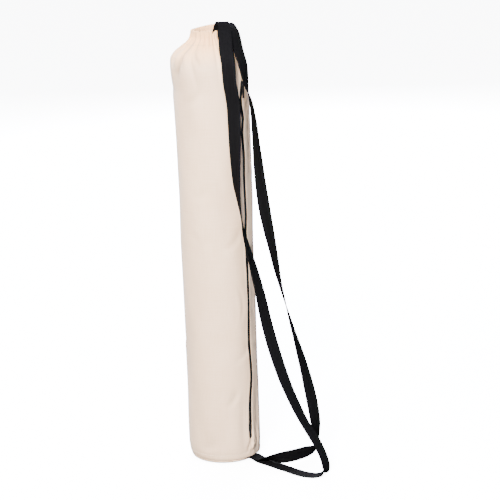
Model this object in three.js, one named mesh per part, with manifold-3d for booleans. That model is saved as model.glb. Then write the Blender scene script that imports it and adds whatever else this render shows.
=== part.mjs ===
// Yoga mat bag: a tall cotton canvas tube with a round sewn base, a gathered neck, a side zip,
// and one webbing strap that is also the drawstring of the neck.
// Millimetres, +Z up. The origin is the centre of the base on the floor, and the zip faces +X.

import * as THREE from "three";
import { mergeVertices } from "three/addons/utils/BufferGeometryUtils.js";
import Module from "manifold-3d";

const wasm = await Module();
wasm.setup();

// Sizes of the bag
const bagHeight = 690; // floor to the rim of the neck
const bodyRadius = 57.5;
const neckRadius = 31; // outside of the gathered casing
const footRadius = 45; // flat middle of the base panel
const seamHeight = 5.5; // base seam above the floor
const canvas = 1.5; // cloth wall
const fit = 0.3; // gap between pieces that meet
const gatherDepth = 2; // creases of the casing
const shoulderFold = 4.5; // creases below the casing
const dentDepth = 2.5; // soft dents of the body
const rimLift = 8; // the rim rises towards the strap's far side
const hemRidge = 0.8; // the base seam stands proud of the tube

// Sizes of the strap
const webbingWidth = 21;
const webbingThick = 1.5;
const strapReach = 137; // how far the strap's loop hangs out past the bag's side
const rootDepth = 5; // length of each strap end inside the base seam
const rootAngle = 5; // both ends, in degrees from the zip
const strapStep = 11; // length of one straight step along the strap

// Sizes of the zip
const zipBottom = 38; // height of its lower end
const zipTopGap = 78; // from the rim down to its upper end
const coilWidth = 2;
const tapeWidth = 22;
const tapeThick = 0.8;
const sliderWidth = 7;
const sliderHeight = 11;
const sliderThick = 2.4;
const pullWidth = 4;
const pullLength = 22;
const pullThick = 1;

// Steps round the bag
const tubeSteps = 72;
const shoulderRows = 6; // rows of the profile that form the shoulder
const slitEase = 4; // degrees of free casing past each end of the strap's ring

// Sizes that follow from those above
const ringRadius = neckRadius - gatherDepth - canvas - fit - webbingThick / 2;
const liningOuter = ringRadius - webbingThick / 2 - fit; // inner layer of the casing
const liningInner = liningOuter - canvas;
const channelTop = bagHeight - canvas;
const channelFoot = channelTop - webbingWidth - 2 * fit;
const casingMiddle = (channelTop + channelFoot) / 2;
const strapOnBody = bodyRadius + fit + webbingThick / 2;
const highRoot = seamHeight - fit - webbingThick / 2;
const lowRoot = highRoot - webbingThick - fit;
const zipTop = bagHeight - zipTopGap;
const zipLength = zipTop - zipBottom;

// Skin of the tube, a row for each height: shares of the bag's height, and of the body's radius
// on the side away from the strap (far) and on the strap's side (near).
const profile = [
  { high: 0.008, far: 0.925, near: 0.975 },
  { high: 0.02, far: 0.975, near: 0.99 },
  { high: 0.038, far: 1, near: 1 },
  { high: 0.06, far: 1, near: 1 },
  { high: 0.09, far: 1, near: 1 },
  { high: 0.13, far: 1, near: 1 },
  { high: 0.19, far: 1, near: 1 },
  { high: 0.26, far: 1, near: 1 },
  { high: 0.33, far: 1, near: 1 },
  { high: 0.4, far: 1, near: 1 },
  { high: 0.47, far: 1, near: 1 },
  { high: 0.54, far: 1, near: 1 },
  { high: 0.61, far: 1, near: 1 },
  { high: 0.68, far: 1.005, near: 1 },
  { high: 0.74, far: 1.01, near: 1 },
  { high: 0.8, far: 1.02, near: 1 },
  { high: 0.84, far: 1.03, near: 1 },
  { high: 0.87, far: 1.04, near: 0.995 },
  { high: 0.905, far: 1.075, near: 0.975 },
  { high: 0.928, far: 1.095, near: 0.92 },
  { high: 0.943, far: 1.07, near: 0.865 },
  { high: 0.952, far: 0.985, near: 0.82 },
  { high: 0.961, far: 0.83, near: 0.73 },
];

// The neck above the shoulder: shares of the casing's height, and of the way out from the neck's
// radius to the body's.
const neckRows = [
  { up: 0.1, out: 0.34 },
  { up: 0.32, out: 0.1 },
  { up: 0.52, out: 0.01 },
  { up: 0.76, out: 0 },
  { up: 0.94, out: -0.01 },
];

// Creases of the gathered neck, a row for each: the angle from the zip in degrees, the width in
// degrees, the depth as a share of the full crease, and how far it runs down the shoulder.
const creases = [
  { at: -40, wide: 6, deep: 1, run: 0.9 },
  { at: -62, wide: 5, deep: 0.8, run: 0.5 },
  { at: -83, wide: 6, deep: 1, run: 1 },
  { at: -103, wide: 5, deep: 0.7, run: 0.35 },
  { at: -122, wide: 7, deep: 0.9, run: 0.8 },
  { at: -146, wide: 6, deep: 0.7, run: 0.4 },
  { at: -169, wide: 7, deep: 1, run: 0.9 },
  { at: 167, wide: 6, deep: 0.8, run: 0.5 },
  { at: 145, wide: 7, deep: 0.9, run: 0.8 },
  { at: 121, wide: 5, deep: 0.7, run: 0.4 },
  { at: 100, wide: 7, deep: 1, run: 0.9 },
  { at: 77, wide: 5, deep: 0.8, run: 0.45 },
  { at: 55, wide: 6, deep: 0.9, run: 0.7 },
];

// Soft dents of the body: height and tallness as shares of the bag's height, angle and width in
// degrees, depth as a share of the full dent (negative stands out).
const dents = [
  { high: 0.09, tall: 0.06, at: -17, wide: 7, deep: 0.8 },
  { high: 0.045, tall: 0.02, at: 0, wide: 6, deep: -0.6 },
  { high: 0.1, tall: 0.07, at: 17, wide: 8, deep: 0.9 },
  { high: 0.42, tall: 0.16, at: 20, wide: 9, deep: 0.7 },
  { high: 0.72, tall: 0.09, at: 22, wide: 9, deep: 0.8 },
  { high: 0.3, tall: 0.06, at: -48, wide: 16, deep: 0.35 },
  { high: 0.86, tall: 0.035, at: -58, wide: 22, deep: 0.7 },
  { high: 0.87, tall: 0.03, at: -118, wide: 18, deep: 0.5 },
  { high: 0.85, tall: 0.04, at: 150, wide: 20, deep: 0.6 },
  { high: 0.5, tall: 0.1, at: 110, wide: 24, deep: 0.4 },
  { high: 0.22, tall: 0.09, at: 190, wide: 26, deep: 0.35 },
];

// The seam wanders a little: height along the zip as a share, and its angle in degrees.
const zipWander = [
  { along: 0, at: -4 },
  { along: 0.1, at: -3 },
  { along: 0.19, at: 2 },
  { along: 0.28, at: 0 },
  { along: 0.4, at: 2.5 },
  { along: 0.58, at: 0.5 },
  { along: 0.64, at: 2.5 },
  { along: 0.73, at: 1.5 },
  { along: 0.8, at: 3 },
  { along: 0.86, at: 0.5 },
  { along: 0.9, at: 3 },
  { along: 0.94, at: -1.5 },
  { along: 1, at: 3 },
];

// Both humps of the strap over the rim, from the casing outwards: the angle from the zip, the way
// out from the casing's channel to the body's skin, the rise above the casing's middle in webbing
// widths, and the webbing's turn and tip in degrees.
const leftHump = [
  { at: -44, out: 0, rise: 0.015, turn: 180, tip: 90 },
  { at: -38, out: 0, rise: 0.01, turn: 180, tip: 90 },
  { at: -32, out: 0, rise: 0.08, turn: 180, tip: 78 },
  { at: -26, out: 0.01, rise: 0.3, turn: 180, tip: 52 },
  { at: -21, out: 0.03, rise: 0.62, turn: 180, tip: 22 },
  { at: -18, out: 0.07, rise: 0.95, turn: 180, tip: 4 },
  { at: -17, out: 0.18, rise: 1.15, turn: 180, tip: 0 },
  { at: -17, out: 0.32, rise: 0.97, turn: 184, tip: 0 },
  { at: -17, out: 0.46, rise: 0.55, turn: 190, tip: 0 },
  { at: -19, out: 0.63, rise: 0, turn: 198, tip: 0 },
  { at: -22, out: 0.84, rise: -0.8, turn: 206, tip: 0 },
];
const rightHump = [
  { at: 45, out: 0, rise: 0.315, turn: 0, tip: 90 },
  { at: 39, out: 0, rise: 0.32, turn: 0, tip: 90 },
  { at: 31, out: 0.03, rise: 0.4, turn: 0, tip: 72 },
  { at: 23, out: 0.1, rise: 0.55, turn: 0, tip: 38 },
  { at: 17, out: 0.19, rise: 0.7, turn: 0, tip: 12 },
  { at: 14, out: 0.29, rise: 0.77, turn: 0, tip: 0 },
  { at: 12, out: 0.42, rise: 0.64, turn: 0, tip: 0 },
  { at: 11, out: 0.54, rise: 0.32, turn: 0, tip: 0 },
  { at: 10, out: 0.67, rise: -0.32, turn: -2, tip: 0 },
  { at: 7.5, out: 0.82, rise: -1, turn: -4, tip: 0 },
];

// Both strands from the shoulder down to the floor: height as a share of the bag's, the angle
// from the zip, the distance from the bag's skin as a share of the reach, and the turn.
const leftStrand = [
  { high: 0.93, at: -24, off: 0.035, turn: 212 },
  { high: 0.885, at: -24, off: 0.055, turn: 214 },
  { high: 0.84, at: -21, off: 0.055, turn: 216 },
  { high: 0.79, at: -21, off: 0.06, turn: 230 },
  { high: 0.73, at: -22, off: 0.075, turn: 246 },
  { high: 0.66, at: -22, off: 0.085, turn: 270 },
  { high: 0.6, at: -18, off: 0.08, turn: 296 },
  { high: 0.55, at: -14, off: 0.085, turn: 314 },
  { high: 0.49, at: -9, off: 0.14, turn: 336 },
  { high: 0.42, at: -5, off: 0.21, turn: 358 },
  { high: 0.34, at: -2.5, off: 0.29, turn: 374 },
  { high: 0.27, at: -1, off: 0.39, turn: 378 },
  { high: 0.2, at: 1, off: 0.51, turn: 370 },
  { high: 0.12, at: 4, off: 0.69, turn: 360 },
  { high: 0.065, at: 5, off: 0.87, turn: 360 },
  { high: 0.033, at: 4.8, off: 0.955, turn: 360 },
  { high: 0.014, at: 4, off: 0.985, turn: 360 },
];
const rightStrand = [
  { high: 0.925, at: 3, off: 0.015, turn: -8 },
  { high: 0.885, at: 6, off: 0.04, turn: -18 },
  { high: 0.845, at: 12, off: 0.055, turn: -32 },
  { high: 0.8, at: 15.5, off: 0.075, turn: -41 },
  { high: 0.735, at: 17, off: 0.095, turn: -57 },
  { high: 0.66, at: 18.5, off: 0.12, turn: -75 },
  { high: 0.59, at: 20, off: 0.16, turn: -84 },
  { high: 0.5, at: 20.5, off: 0.24, turn: -58 },
  { high: 0.44, at: 21, off: 0.29, turn: -40 },
  { high: 0.36, at: 22.5, off: 0.38, turn: -17 },
  { high: 0.29, at: 24, off: 0.465, turn: 2 },
  { high: 0.22, at: 24, off: 0.56, turn: 24 },
  { high: 0.14, at: 24, off: 0.645, turn: 44 },
  { high: 0.09, at: 24, off: 0.68, turn: 34 },
  { high: 0.055, at: 25.5, off: 0.69, turn: 12 },
];

// Both ends along the floor to the base seam: the layers of webbing beneath, the angle from the
// zip, the distance from the bag's skin as a share of the reach, and the webbing's turn and tip.
const leftFloor = [
  { over: 1, at: 2.5, off: 0.975, turn: 360, tip: 0 },
  { over: 0, at: -1, off: 0.93, turn: 360, tip: 0 },
  { over: 0, at: -4.2, off: 0.8, turn: 360, tip: 0 },
  { over: 0, at: -4.5, off: 0.5, turn: 360, tip: 0 },
  { over: 0, at: -3, off: 0.28, turn: 360, tip: 0 },
  { over: 0, at: 0.5, off: 0.12, turn: 360, tip: 0 },
];
const rightFloor = [
  { over: 7, at: 26, off: 0.675, turn: -6, tip: -24 },
  { over: 3, at: 24, off: 0.65, turn: -6, tip: -46 },
  { over: 0.6, at: 19.5, off: 0.575, turn: 0, tip: -60 },
  { over: 0, at: 11, off: 0.485, turn: 0, tip: -66 },
  { over: 0.6, at: 2, off: 0.39, turn: 0, tip: -54 },
  { over: 1.2, at: -2.5, off: 0.27, turn: 0, tip: -26 },
  { over: 1, at: 0.5, off: 0.12, turn: 0, tip: -4 },
];

// Colours and finishes
const cottonCanvas = () =>
  new THREE.MeshStandardMaterial({ color: 0xece0d4, roughness: 0.92, metalness: 0 });
const blackWebbing = () =>
  new THREE.MeshStandardMaterial({ color: 0x1c1b1e, roughness: 0.75, metalness: 0 });
const blackTape = () =>
  new THREE.MeshStandardMaterial({ color: 0x18171a, roughness: 0.85, metalness: 0 });
const blackNylon = () =>
  new THREE.MeshStandardMaterial({ color: 0x121114, roughness: 0.45, metalness: 0 });
const blackPaint = () =>
  new THREE.MeshStandardMaterial({ color: 0x17161a, roughness: 0.4, metalness: 0.3 });

const radians = THREE.MathUtils.degToRad;
const lerp = THREE.MathUtils.lerp;
const smooth = THREE.MathUtils.smoothstep;

// A value between the rows of a table, at a place along the named key.
function between(rows, key, place, name) {
  const last = rows.length - 1;
  if (place <= rows[0][key]) return rows[0][name];
  for (let i = 0; i < last; i += 1) {
    const [a, b] = [rows[i], rows[i + 1]];
    if (place <= b[key]) {
      return lerp(a[name], b[name], (place - a[key]) / (b[key] - a[key]));
    }
  }
  return rows[last][name];
}

// How close an angle is to another, as 1 at the same angle and 0 a few widths away.
function bump(angle, at, wide) {
  const away = ((((angle - at) % 360) + 540) % 360) - 180;
  return Math.exp(-((away / wide) ** 2));
}

// Share of the strap's side in the tube's section, 1 at 39 degrees and 0 opposite.
const nearShare = (angle) => 0.5 + 0.5 * Math.cos(radians(angle - 39));

// The neck is higher on the strap's far side.
const lift = (angle) => rimLift * (0.5 + 0.5 * Math.cos(radians(angle - 80))) ** 2;

function liftedHeight(angle, height) {
  const shoulder = profile[profile.length - 4].high * bagHeight;
  return height + lift(angle) * smooth(height, shoulder, casingMiddle);
}

// All rings of the skin as height and the two radii, the body's first and then the neck's.
const rings = [
  ...profile.map(({ high, far, near }) => ({
    height: high * bagHeight,
    far: far * bodyRadius,
    near: near * bodyRadius,
  })),
  ...neckRows.map(({ up, out }) => {
    const radius = lerp(neckRadius, bodyRadius, out);
    return { height: lerp(channelFoot, bagHeight, up), far: radius, near: radius };
  }),
];
rings[0].height = seamHeight;

// Outer skin of the tube on one of its rings, with its creases and dents.
function ringSkin(angle, { height, far, near }) {
  let radius = lerp(far, near, nearShare(angle));
  const shoulderFoot = profile[profile.length - 7].high * bagHeight;
  for (const { at, wide, deep, run } of creases) {
    const foot = lerp(channelFoot, shoulderFoot, run);
    const below = smooth(height, foot, channelFoot);
    const above = smooth(height, channelFoot, casingMiddle);
    const depth = lerp(shoulderFold * below, gatherDepth, above);
    radius -= depth * deep * bump(angle, at, wide);
  }
  for (const { high, tall, at, wide, deep } of dents) {
    const level = Math.exp(-(((height / bagHeight - high) / tall) ** 2));
    radius -= dentDepth * deep * level * bump(angle, at, wide);
  }
  return radius;
}

// Outer skin of the tube at an angle and any height before the lift, straight between the rings.
function skinRadius(angle, height) {
  const above = rings.findIndex((ring) => ring.height >= height);
  if (above === 0) return ringSkin(angle, rings[0]);
  if (above < 0) return ringSkin(angle, rings[rings.length - 1]);
  const [a, b] = [rings[above - 1], rings[above]];
  const share = (height - a.height) / (b.height - a.height);
  return lerp(ringSkin(angle, a), ringSkin(angle, b), share);
}

const place = (angle, radius, height) =>
  new THREE.Vector3(
    radius * Math.cos(radians(angle)),
    radius * Math.sin(radians(angle)),
    height,
  );

// Six times the volume that the faces enclose, negative where they point inwards.
function enclosed(points, faces) {
  const cross = new THREE.Vector3();
  return faces.reduce(
    (sum, [a, b, c]) => sum + cross.crossVectors(points[a], points[b]).dot(points[c]),
    0,
  );
}

// A closed body from a row of sections with equal point counts. Joined end to end it is a ring,
// and otherwise both ends are closed with fans. All faces are turned to point outwards.
function loft(sections, isRing) {
  const count = sections[0].length;
  const points = sections.flat();
  const faces = [];
  const rows = isRing ? sections.length : sections.length - 1;
  for (let i = 0; i < rows; i += 1) {
    const a = i * count;
    const b = ((i + 1) % sections.length) * count;
    for (let j = 0; j < count; j += 1) {
      const k = (j + 1) % count;
      faces.push([a + j, b + j, b + k], [a + j, b + k, a + k]);
    }
  }
  if (!isRing) {
    const end = (sections.length - 1) * count;
    for (let j = 1; j < count - 1; j += 1) {
      faces.push([0, j, j + 1], [end, end + j + 1, end + j]);
    }
  }
  if (enclosed(points, faces) < 0) faces.forEach((face) => face.reverse());
  const geometry = new THREE.BufferGeometry().setFromPoints(points);
  geometry.setIndex(faces.flat());
  return geometry;
}

// A geometry as a manifold solid, with equal corners joined and flat triangles dropped.
function solid(geometry) {
  const bare = geometry.clone();
  bare.deleteAttribute("normal");
  bare.deleteAttribute("uv");
  const merged = mergeVertices(bare, 1e-4);
  const index = merged.index.array;
  const kept = [];
  for (let i = 0; i < index.length; i += 3) {
    const [a, b, c] = [index[i], index[i + 1], index[i + 2]];
    if (a !== b && b !== c && c !== a) kept.push(a, b, c);
  }
  const made = new wasm.Manifold(
    new wasm.Mesh({
      numProp: 3,
      vertProperties: new Float32Array(merged.attributes.position.array),
      triVerts: new Uint32Array(kept),
    }),
  );
  return made;
}

// A manifold solid as a geometry to draw.
function drawn(body) {
  const mesh = body.getMesh();
  const geometry = new THREE.BufferGeometry();
  geometry.setAttribute("position", new THREE.BufferAttribute(mesh.vertProperties, 3));
  geometry.setIndex(new THREE.BufferAttribute(mesh.triVerts, 1));
  const flat = geometry.toNonIndexed();
  flat.computeVertexNormals();
  return flat;
}

// Sections round the bag, from a function that gives the outline at an angle as [radius, height].
function round(outline, steps = tubeSteps) {
  const sections = [];
  for (let i = 0; i < steps; i += 1) {
    const angle = (360 * i) / steps;
    sections.push(outline(angle).map(([radius, height]) => place(angle, radius, height)));
  }
  return loft(sections, true);
}

// Wall of the tube at one angle: up the skin, over the rim, down the casing's inner layer and
// down the inside of the shoulder and body.
function tubeOutline(angle) {
  const outer = rings.map(({ height }) => [skinRadius(angle, height), height]);
  outer[0][0] += hemRidge * 0.5;
  const rim = [
    [neckRadius - gatherDepth - canvas, bagHeight],
    [liningInner, bagHeight - fit],
    [liningInner, channelFoot - canvas],
  ];
  const inner = [];
  for (let i = profile.length - 1; i > 0; i -= 1) {
    const { height } = rings[i];
    const isShoulder = i >= profile.length - shoulderRows;
    if (!isShoulder && i % 2 === 1) continue; // the body's inside needs half the rings
    const run = skinRadius(angle, height - 1) - skinRadius(angle, height + 1);
    const slant = Math.hypot(1, run / 2);
    inner.push([outer[i][0] - canvas * slant, height]);
  }
  inner.push([outer[0][0] - canvas, seamHeight]);
  return [...outer, ...rim, ...inner].map(([radius, height]) => [
    radius,
    liftedHeight(angle, height),
  ]);
}

// Channel of the casing, between its inner layer and the gathered skin.
function channelOutline(angle) {
  const heights = [channelFoot, rings[rings.length - 4].height, channelTop];
  const outer = heights.map((height) => {
    const run = skinRadius(angle, height - 1) - skinRadius(angle, height + 1);
    return [skinRadius(angle, height) - canvas * Math.hypot(1, run / 2), height];
  });
  outer[2][0] = ringRadius + webbingThick / 2 + fit;
  return [[liningOuter, channelFoot], ...outer, [liningOuter, channelTop]].map(
    ([radius, height]) => [radius, liftedHeight(angle, height)],
  );
}

// A wedge of the bag between two angles, as a cutting body.
function wedge(from, to, steps, outline) {
  const sections = [];
  for (let i = 0; i <= steps; i += 1) {
    const angle = lerp(from, to, i / steps);
    sections.push(outline.map(([radius, height]) => place(angle, radius, height)));
  }
  return solid(loft(sections, false));
}

const degreesOf = (length, radius) => THREE.MathUtils.radToDeg(length / radius);

// Angle of the zip at a height.
function zipAngle(height) {
  return between(zipWander, "along", (height - zipBottom) / zipLength, "at");
}

// An upright strip along the zip: half its width, and its two faces as distances in from the
// tube's skin.
function zipStrip(bottom, top, halfWidth, inFrom, inTo, across) {
  const sections = [];
  const steps = 22;
  for (let i = 0; i <= steps; i += 1) {
    const height = lerp(bottom, top, i / steps);
    const half = degreesOf(halfWidth, bodyRadius);
    const face = (depth, way) => {
      const row = [];
      for (let j = 0; j <= across; j += 1) {
        const angle = zipAngle(height) + way * lerp(-half, half, j / across);
        row.push(place(angle, skinRadius(angle, height) - depth, height));
      }
      return row;
    };
    sections.push([...face(inFrom, 1), ...face(inTo, -1)]);
  }
  return solid(loft(sections, false));
}

// Ribbon of webbing through a row of stations, each a point and the way its width points.
function ribbon(stations) {
  const path = new THREE.CatmullRomCurve3(
    stations.map(({ point }) => point),
    false,
    "centripetal",
  );
  const sections = [];
  const last = stations.length - 1;
  const section = (t) => {
    const centre = path.getPoint(t);
    const along = path.getTangent(t);
    const from = Math.min(Math.floor(t * last), last - 1);
    const across = stations[from].width.clone();
    across.lerp(stations[from + 1].width, t * last - from);
    across.addScaledVector(along, -across.dot(along)).normalize();
    const face = new THREE.Vector3().crossVectors(along, across);
    const corner = (w, f) =>
      centre
        .clone()
        .addScaledVector(across, (w * webbingWidth) / 2)
        .addScaledVector(face, (f * webbingThick) / 2);
    const corners = [corner(1, 1), corner(-1, 1), corner(-1, -1), corner(1, -1)];
    const low = Math.min(...corners.map(({ z }) => z));
    const raised = Math.max(0, fit - low);
    return corners.map((point) => point.setZ(point.z + raised));
  };
  for (let i = 0; i < last; i += 1) {
    const length = stations[i].point.distanceTo(stations[i + 1].point);
    const steps = Math.max(1, Math.round(length / strapStep) + (length < 2 * strapStep ? 1 : 0));
    for (let j = 0; j < steps; j += 1) sections.push(section((i + j / steps) / last));
  }
  sections.push(section(1));
  return loft(sections, false);
}

// The way a ribbon's width points: turned from the tangent towards the outside, then tipped up.
function widthWay(angle, turn, tip) {
  const flat = place(angle + 90 - turn, Math.cos(radians(tip)), 0);
  return flat.setZ(Math.sin(radians(tip)));
}

const humpStation = ({ at, out, rise, turn, tip }) => ({
  point: place(
    at,
    lerp(ringRadius, strapOnBody, out),
    casingMiddle + rise * webbingWidth,
  ),
  width: widthWay(at, turn, tip),
});

const strandStation = ({ high, at, off, turn }) => ({
  point: place(at, strapOnBody + off * strapReach, high * bagHeight),
  width: widthWay(at, turn, 0),
});

function floorStation({ over, at, off, turn, tip }) {
  const half = Math.abs(Math.sin(radians(tip))) * (webbingWidth / 2) + webbingThick / 2;
  const height = fit + half + over * (webbingThick + fit);
  return {
    point: place(at, strapOnBody + off * strapReach, height),
    width: widthWay(at, turn, tip),
  };
}

const rootStation = (radius, height, turn) => ({
  point: place(rootAngle, radius, height),
  width: widthWay(rootAngle, turn, 0),
});

// The strap from one end in the base seam, up, round the neck, and down to the other end.
function strapStations() {
  const rootRadius = skinRadius(rootAngle, seamHeight);
  const neck = [];
  const [from, to] = [leftHump[0].at, rightHump[0].at - 360];
  const turns = 18;
  for (let i = 1; i < turns; i += 1) {
    const angle = lerp(from, to, i / turns);
    neck.push({
      point: place(angle, ringRadius, casingMiddle + lift(angle)),
      width: new THREE.Vector3(0, 0, 1),
    });
  }
  return [
    rootStation(rootRadius - rootDepth, lowRoot, 360),
    rootStation(rootRadius + 2, lowRoot, 360),
    ...leftFloor.map(floorStation).reverse(),
    ...leftStrand.map(strandStation).reverse(),
    ...leftHump.map(humpStation).reverse(),
    ...neck,
    ...rightHump.map(humpStation),
    ...rightStrand.map(strandStation),
    ...rightFloor.map(floorStation),
    rootStation(rootRadius + 2, highRoot, 0),
    rootStation(rootRadius - rootDepth, highRoot, 0),
  ];
}

// Canvas tube with the casing's channel, the gap where the strap comes out and the zip's slit cut
// out of its wall.
function makeTube() {
  const slitFrom = leftHump[0].at - slitEase;
  const slitTo = rightHump[0].at + slitEase;
  const beyond = bodyRadius * 2;
  const aboveRim = bagHeight + rimLift + canvas;
  const gap = wedge(slitFrom, slitTo, 16, [
    [liningOuter, channelFoot],
    [beyond, channelFoot],
    [beyond, aboveRim],
    [liningOuter, aboveRim],
  ]);
  const slit = zipStrip(zipBottom, zipTop, coilWidth / 2 + fit, canvas * 3, -canvas * 2, 1);
  return solid(round(tubeOutline))
    .subtract(solid(round(channelOutline)))
    .subtract(gap)
    .subtract(slit);
}

// Round base panel, flat in the middle and turned up to the seam at its rim.
function baseOutline(angle) {
  const rim = skinRadius(angle, seamHeight) + hemRidge * 0.5;
  const turnUp = [0, 0.4, 0.75, 1];
  const edge = turnUp.map((share) => [
    lerp(footRadius, rim, Math.sin((share * Math.PI) / 2)),
    (seamHeight - fit) * (1 - Math.cos((share * Math.PI) / 2)),
  ]);
  const inside = edge.map(([radius, height], i) => {
    const slope = (turnUp[i] * Math.PI) / 2;
    return [
      radius - canvas * Math.sin(slope),
      Math.min(height + canvas * Math.cos(slope), seamHeight - fit),
    ];
  });
  return [[0, 0], ...edge, ...inside.reverse(), [0, canvas]];
}

// Base panel with the notch that takes both ends of the strap cut out of its rim.
function makeBase() {
  const rim = skinRadius(rootAngle, seamHeight);
  const notchHalf = degreesOf(webbingWidth / 2 + fit, rim - rootDepth);
  const notchFoot = lowRoot - webbingThick / 2 - fit;
  const notch = wedge(rootAngle - notchHalf, rootAngle + notchHalf, 4, [
    [rim - rootDepth - 2 * fit, notchFoot],
    [bodyRadius * 2, notchFoot],
    [bodyRadius * 2, seamHeight],
    [rim - rootDepth - 2 * fit, seamHeight],
  ]);
  return solid(round(baseOutline)).subtract(notch);
}

// Slider and pull of the zip, drawn flat and stood up in front of the zip's upper end.
function makeSlider() {
  const body = new THREE.Shape();
  const half = sliderWidth / 2;
  body.moveTo(-half * 0.6, 0);
  body.lineTo(half * 0.6, 0);
  body.quadraticCurveTo(half, sliderHeight * 0.4, half, sliderHeight * 0.7);
  body.quadraticCurveTo(half, sliderHeight, half * 0.4, sliderHeight);
  body.lineTo(-half * 0.4, sliderHeight);
  body.quadraticCurveTo(-half, sliderHeight, -half, sliderHeight * 0.7);
  body.quadraticCurveTo(-half, sliderHeight * 0.4, -half * 0.6, 0);
  const pull = new THREE.Shape();
  const side = pullWidth / 2;
  const overlap = sliderHeight / 2;
  pull.moveTo(-side * 0.6, overlap);
  pull.lineTo(-side, -pullLength + side + overlap);
  pull.absarc(0, -pullLength + side + overlap, side, Math.PI, 2 * Math.PI);
  pull.lineTo(side * 0.6, overlap);
  const plate = (shape, depth) =>
    new THREE.ExtrudeGeometry(shape, { depth, bevelEnabled: false, curveSegments: 5 });
  const lower = solid(plate(body, sliderThick));
  const tilted = plate(pull, pullThick);
  tilted.translate(0, 0, sliderThick - pullThick / 2);
  return drawn(lower.add(solid(tilted)));
}

function named(name, geometry, material) {
  const mesh = new THREE.Mesh(geometry, material);
  mesh.name = name;
  return mesh;
}

const bag = new THREE.Group();

bag.add(named("bag_tube", drawn(makeTube()), cottonCanvas()));
bag.add(named("base_panel", drawn(makeBase()), cottonCanvas()));

const tape = zipStrip(
  zipBottom - tapeWidth / 4,
  zipTop + tapeWidth / 4,
  tapeWidth / 2,
  canvas + fit,
  canvas + fit + tapeThick,
  4,
);
bag.add(named("zip_tape", drawn(tape), blackTape()));

const coil = zipStrip(zipBottom + fit, zipTop - fit, coilWidth / 2, 0, canvas, 1);
bag.add(named("zip_coil", drawn(coil), blackNylon()));

const slider = named("zip_slider", makeSlider(), blackPaint());
const sliderFoot = zipTop - sliderHeight;
const sliderAngle = zipAngle(zipTop);
const pullFoot = sliderFoot + sliderHeight / 2 - pullLength;
const skinBehind = [0, 0.25, 0.5, 0.75, 1].map((share) =>
  skinRadius(sliderAngle, lerp(pullFoot, zipTop, share)),
);
slider.position.copy(
  place(sliderAngle, Math.max(...skinBehind) + fit, sliderFoot),
);
slider.quaternion.setFromRotationMatrix(
  new THREE.Matrix4().makeBasis(
    place(sliderAngle + 90, 1, 0),
    new THREE.Vector3(0, 0, 1),
    place(sliderAngle, 1, 0),
  ),
);
bag.add(slider);

bag.add(named("strap", ribbon(strapStations()), blackWebbing()));

export default bag;
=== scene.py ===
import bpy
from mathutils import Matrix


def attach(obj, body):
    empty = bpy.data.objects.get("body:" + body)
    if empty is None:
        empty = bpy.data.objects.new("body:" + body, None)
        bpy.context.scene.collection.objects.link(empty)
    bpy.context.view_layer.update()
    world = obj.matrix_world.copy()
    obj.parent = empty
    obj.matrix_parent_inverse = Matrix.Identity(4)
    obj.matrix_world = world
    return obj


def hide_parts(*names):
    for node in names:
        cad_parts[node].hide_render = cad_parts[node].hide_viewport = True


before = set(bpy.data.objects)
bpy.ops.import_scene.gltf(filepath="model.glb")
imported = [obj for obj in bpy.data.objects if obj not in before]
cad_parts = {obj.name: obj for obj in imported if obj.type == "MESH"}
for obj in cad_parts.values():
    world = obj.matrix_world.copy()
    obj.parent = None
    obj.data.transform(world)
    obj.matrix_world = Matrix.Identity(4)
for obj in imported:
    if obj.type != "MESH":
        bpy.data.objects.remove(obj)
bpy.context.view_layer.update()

import math

import bpy
import numpy as np
from mathutils import Matrix, Vector

# Yoga mat bag: a tall round canvas bag with a gathered neck, a long side zip, a sewn round base,
# and one webbing strap that is also its drawstring. Lengths are in millimetres until a mesh is made.
# Angles are in degrees round the bag, counted from the zip, which faces +X.

mm = 0.001

bag = {
    "height": 690,  # floor to the rim
    "bodyRadius": 57.5,
    "neckRadius": 31,
    "footRadius": 45,  # flat middle of the base
    "seamHeight": 5.5,  # base seam
    "cloth": 0.9,  # thickness that shows at the open edges
    "channelFoot": 666.9,  # seam at the foot of the neck's casing
    "shoulderFold": 4.5,
    "gatherDepth": 2,
    "dentDepth": 2.5,
    "wrinkleDepth": 1.7,
    "rimLift": 6,
    "rimLiftAt": 80,  # degrees, where the rim is highest
    "liftFoot": 0.928,  # height share where the lift starts
    "shoulderFoot": 0.84,  # height share where the gathers fade out
    "strapSide": 39,  # degrees, the side for the table's last column
}

# height share, body radius share away from the strap, and on the strap's side
profile = np.array([
    [0.008, 0.925, 0.975], [0.02, 0.975, 0.99], [0.038, 1, 1], [0.06, 1, 1], [0.13, 1, 1],
    [0.26, 1, 1], [0.4, 1, 1], [0.54, 1, 1], [0.61, 1, 1], [0.68, 1.005, 1], [0.74, 1.01, 1],
    [0.8, 1.02, 1], [0.84, 1.03, 1], [0.87, 1.04, 0.995], [0.905, 1.075, 0.975],
    [0.928, 1.095, 0.92], [0.943, 1.07, 0.865], [0.952, 0.985, 0.82], [0.961, 0.83, 0.73],
])
# share of the casing's height, share of the way from the neck's radius to the body's
neckRows = np.array([[0.1, 0.34], [0.32, 0.1], [0.52, 0.01], [0.76, 0], [0.94, -0.01]])

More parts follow.
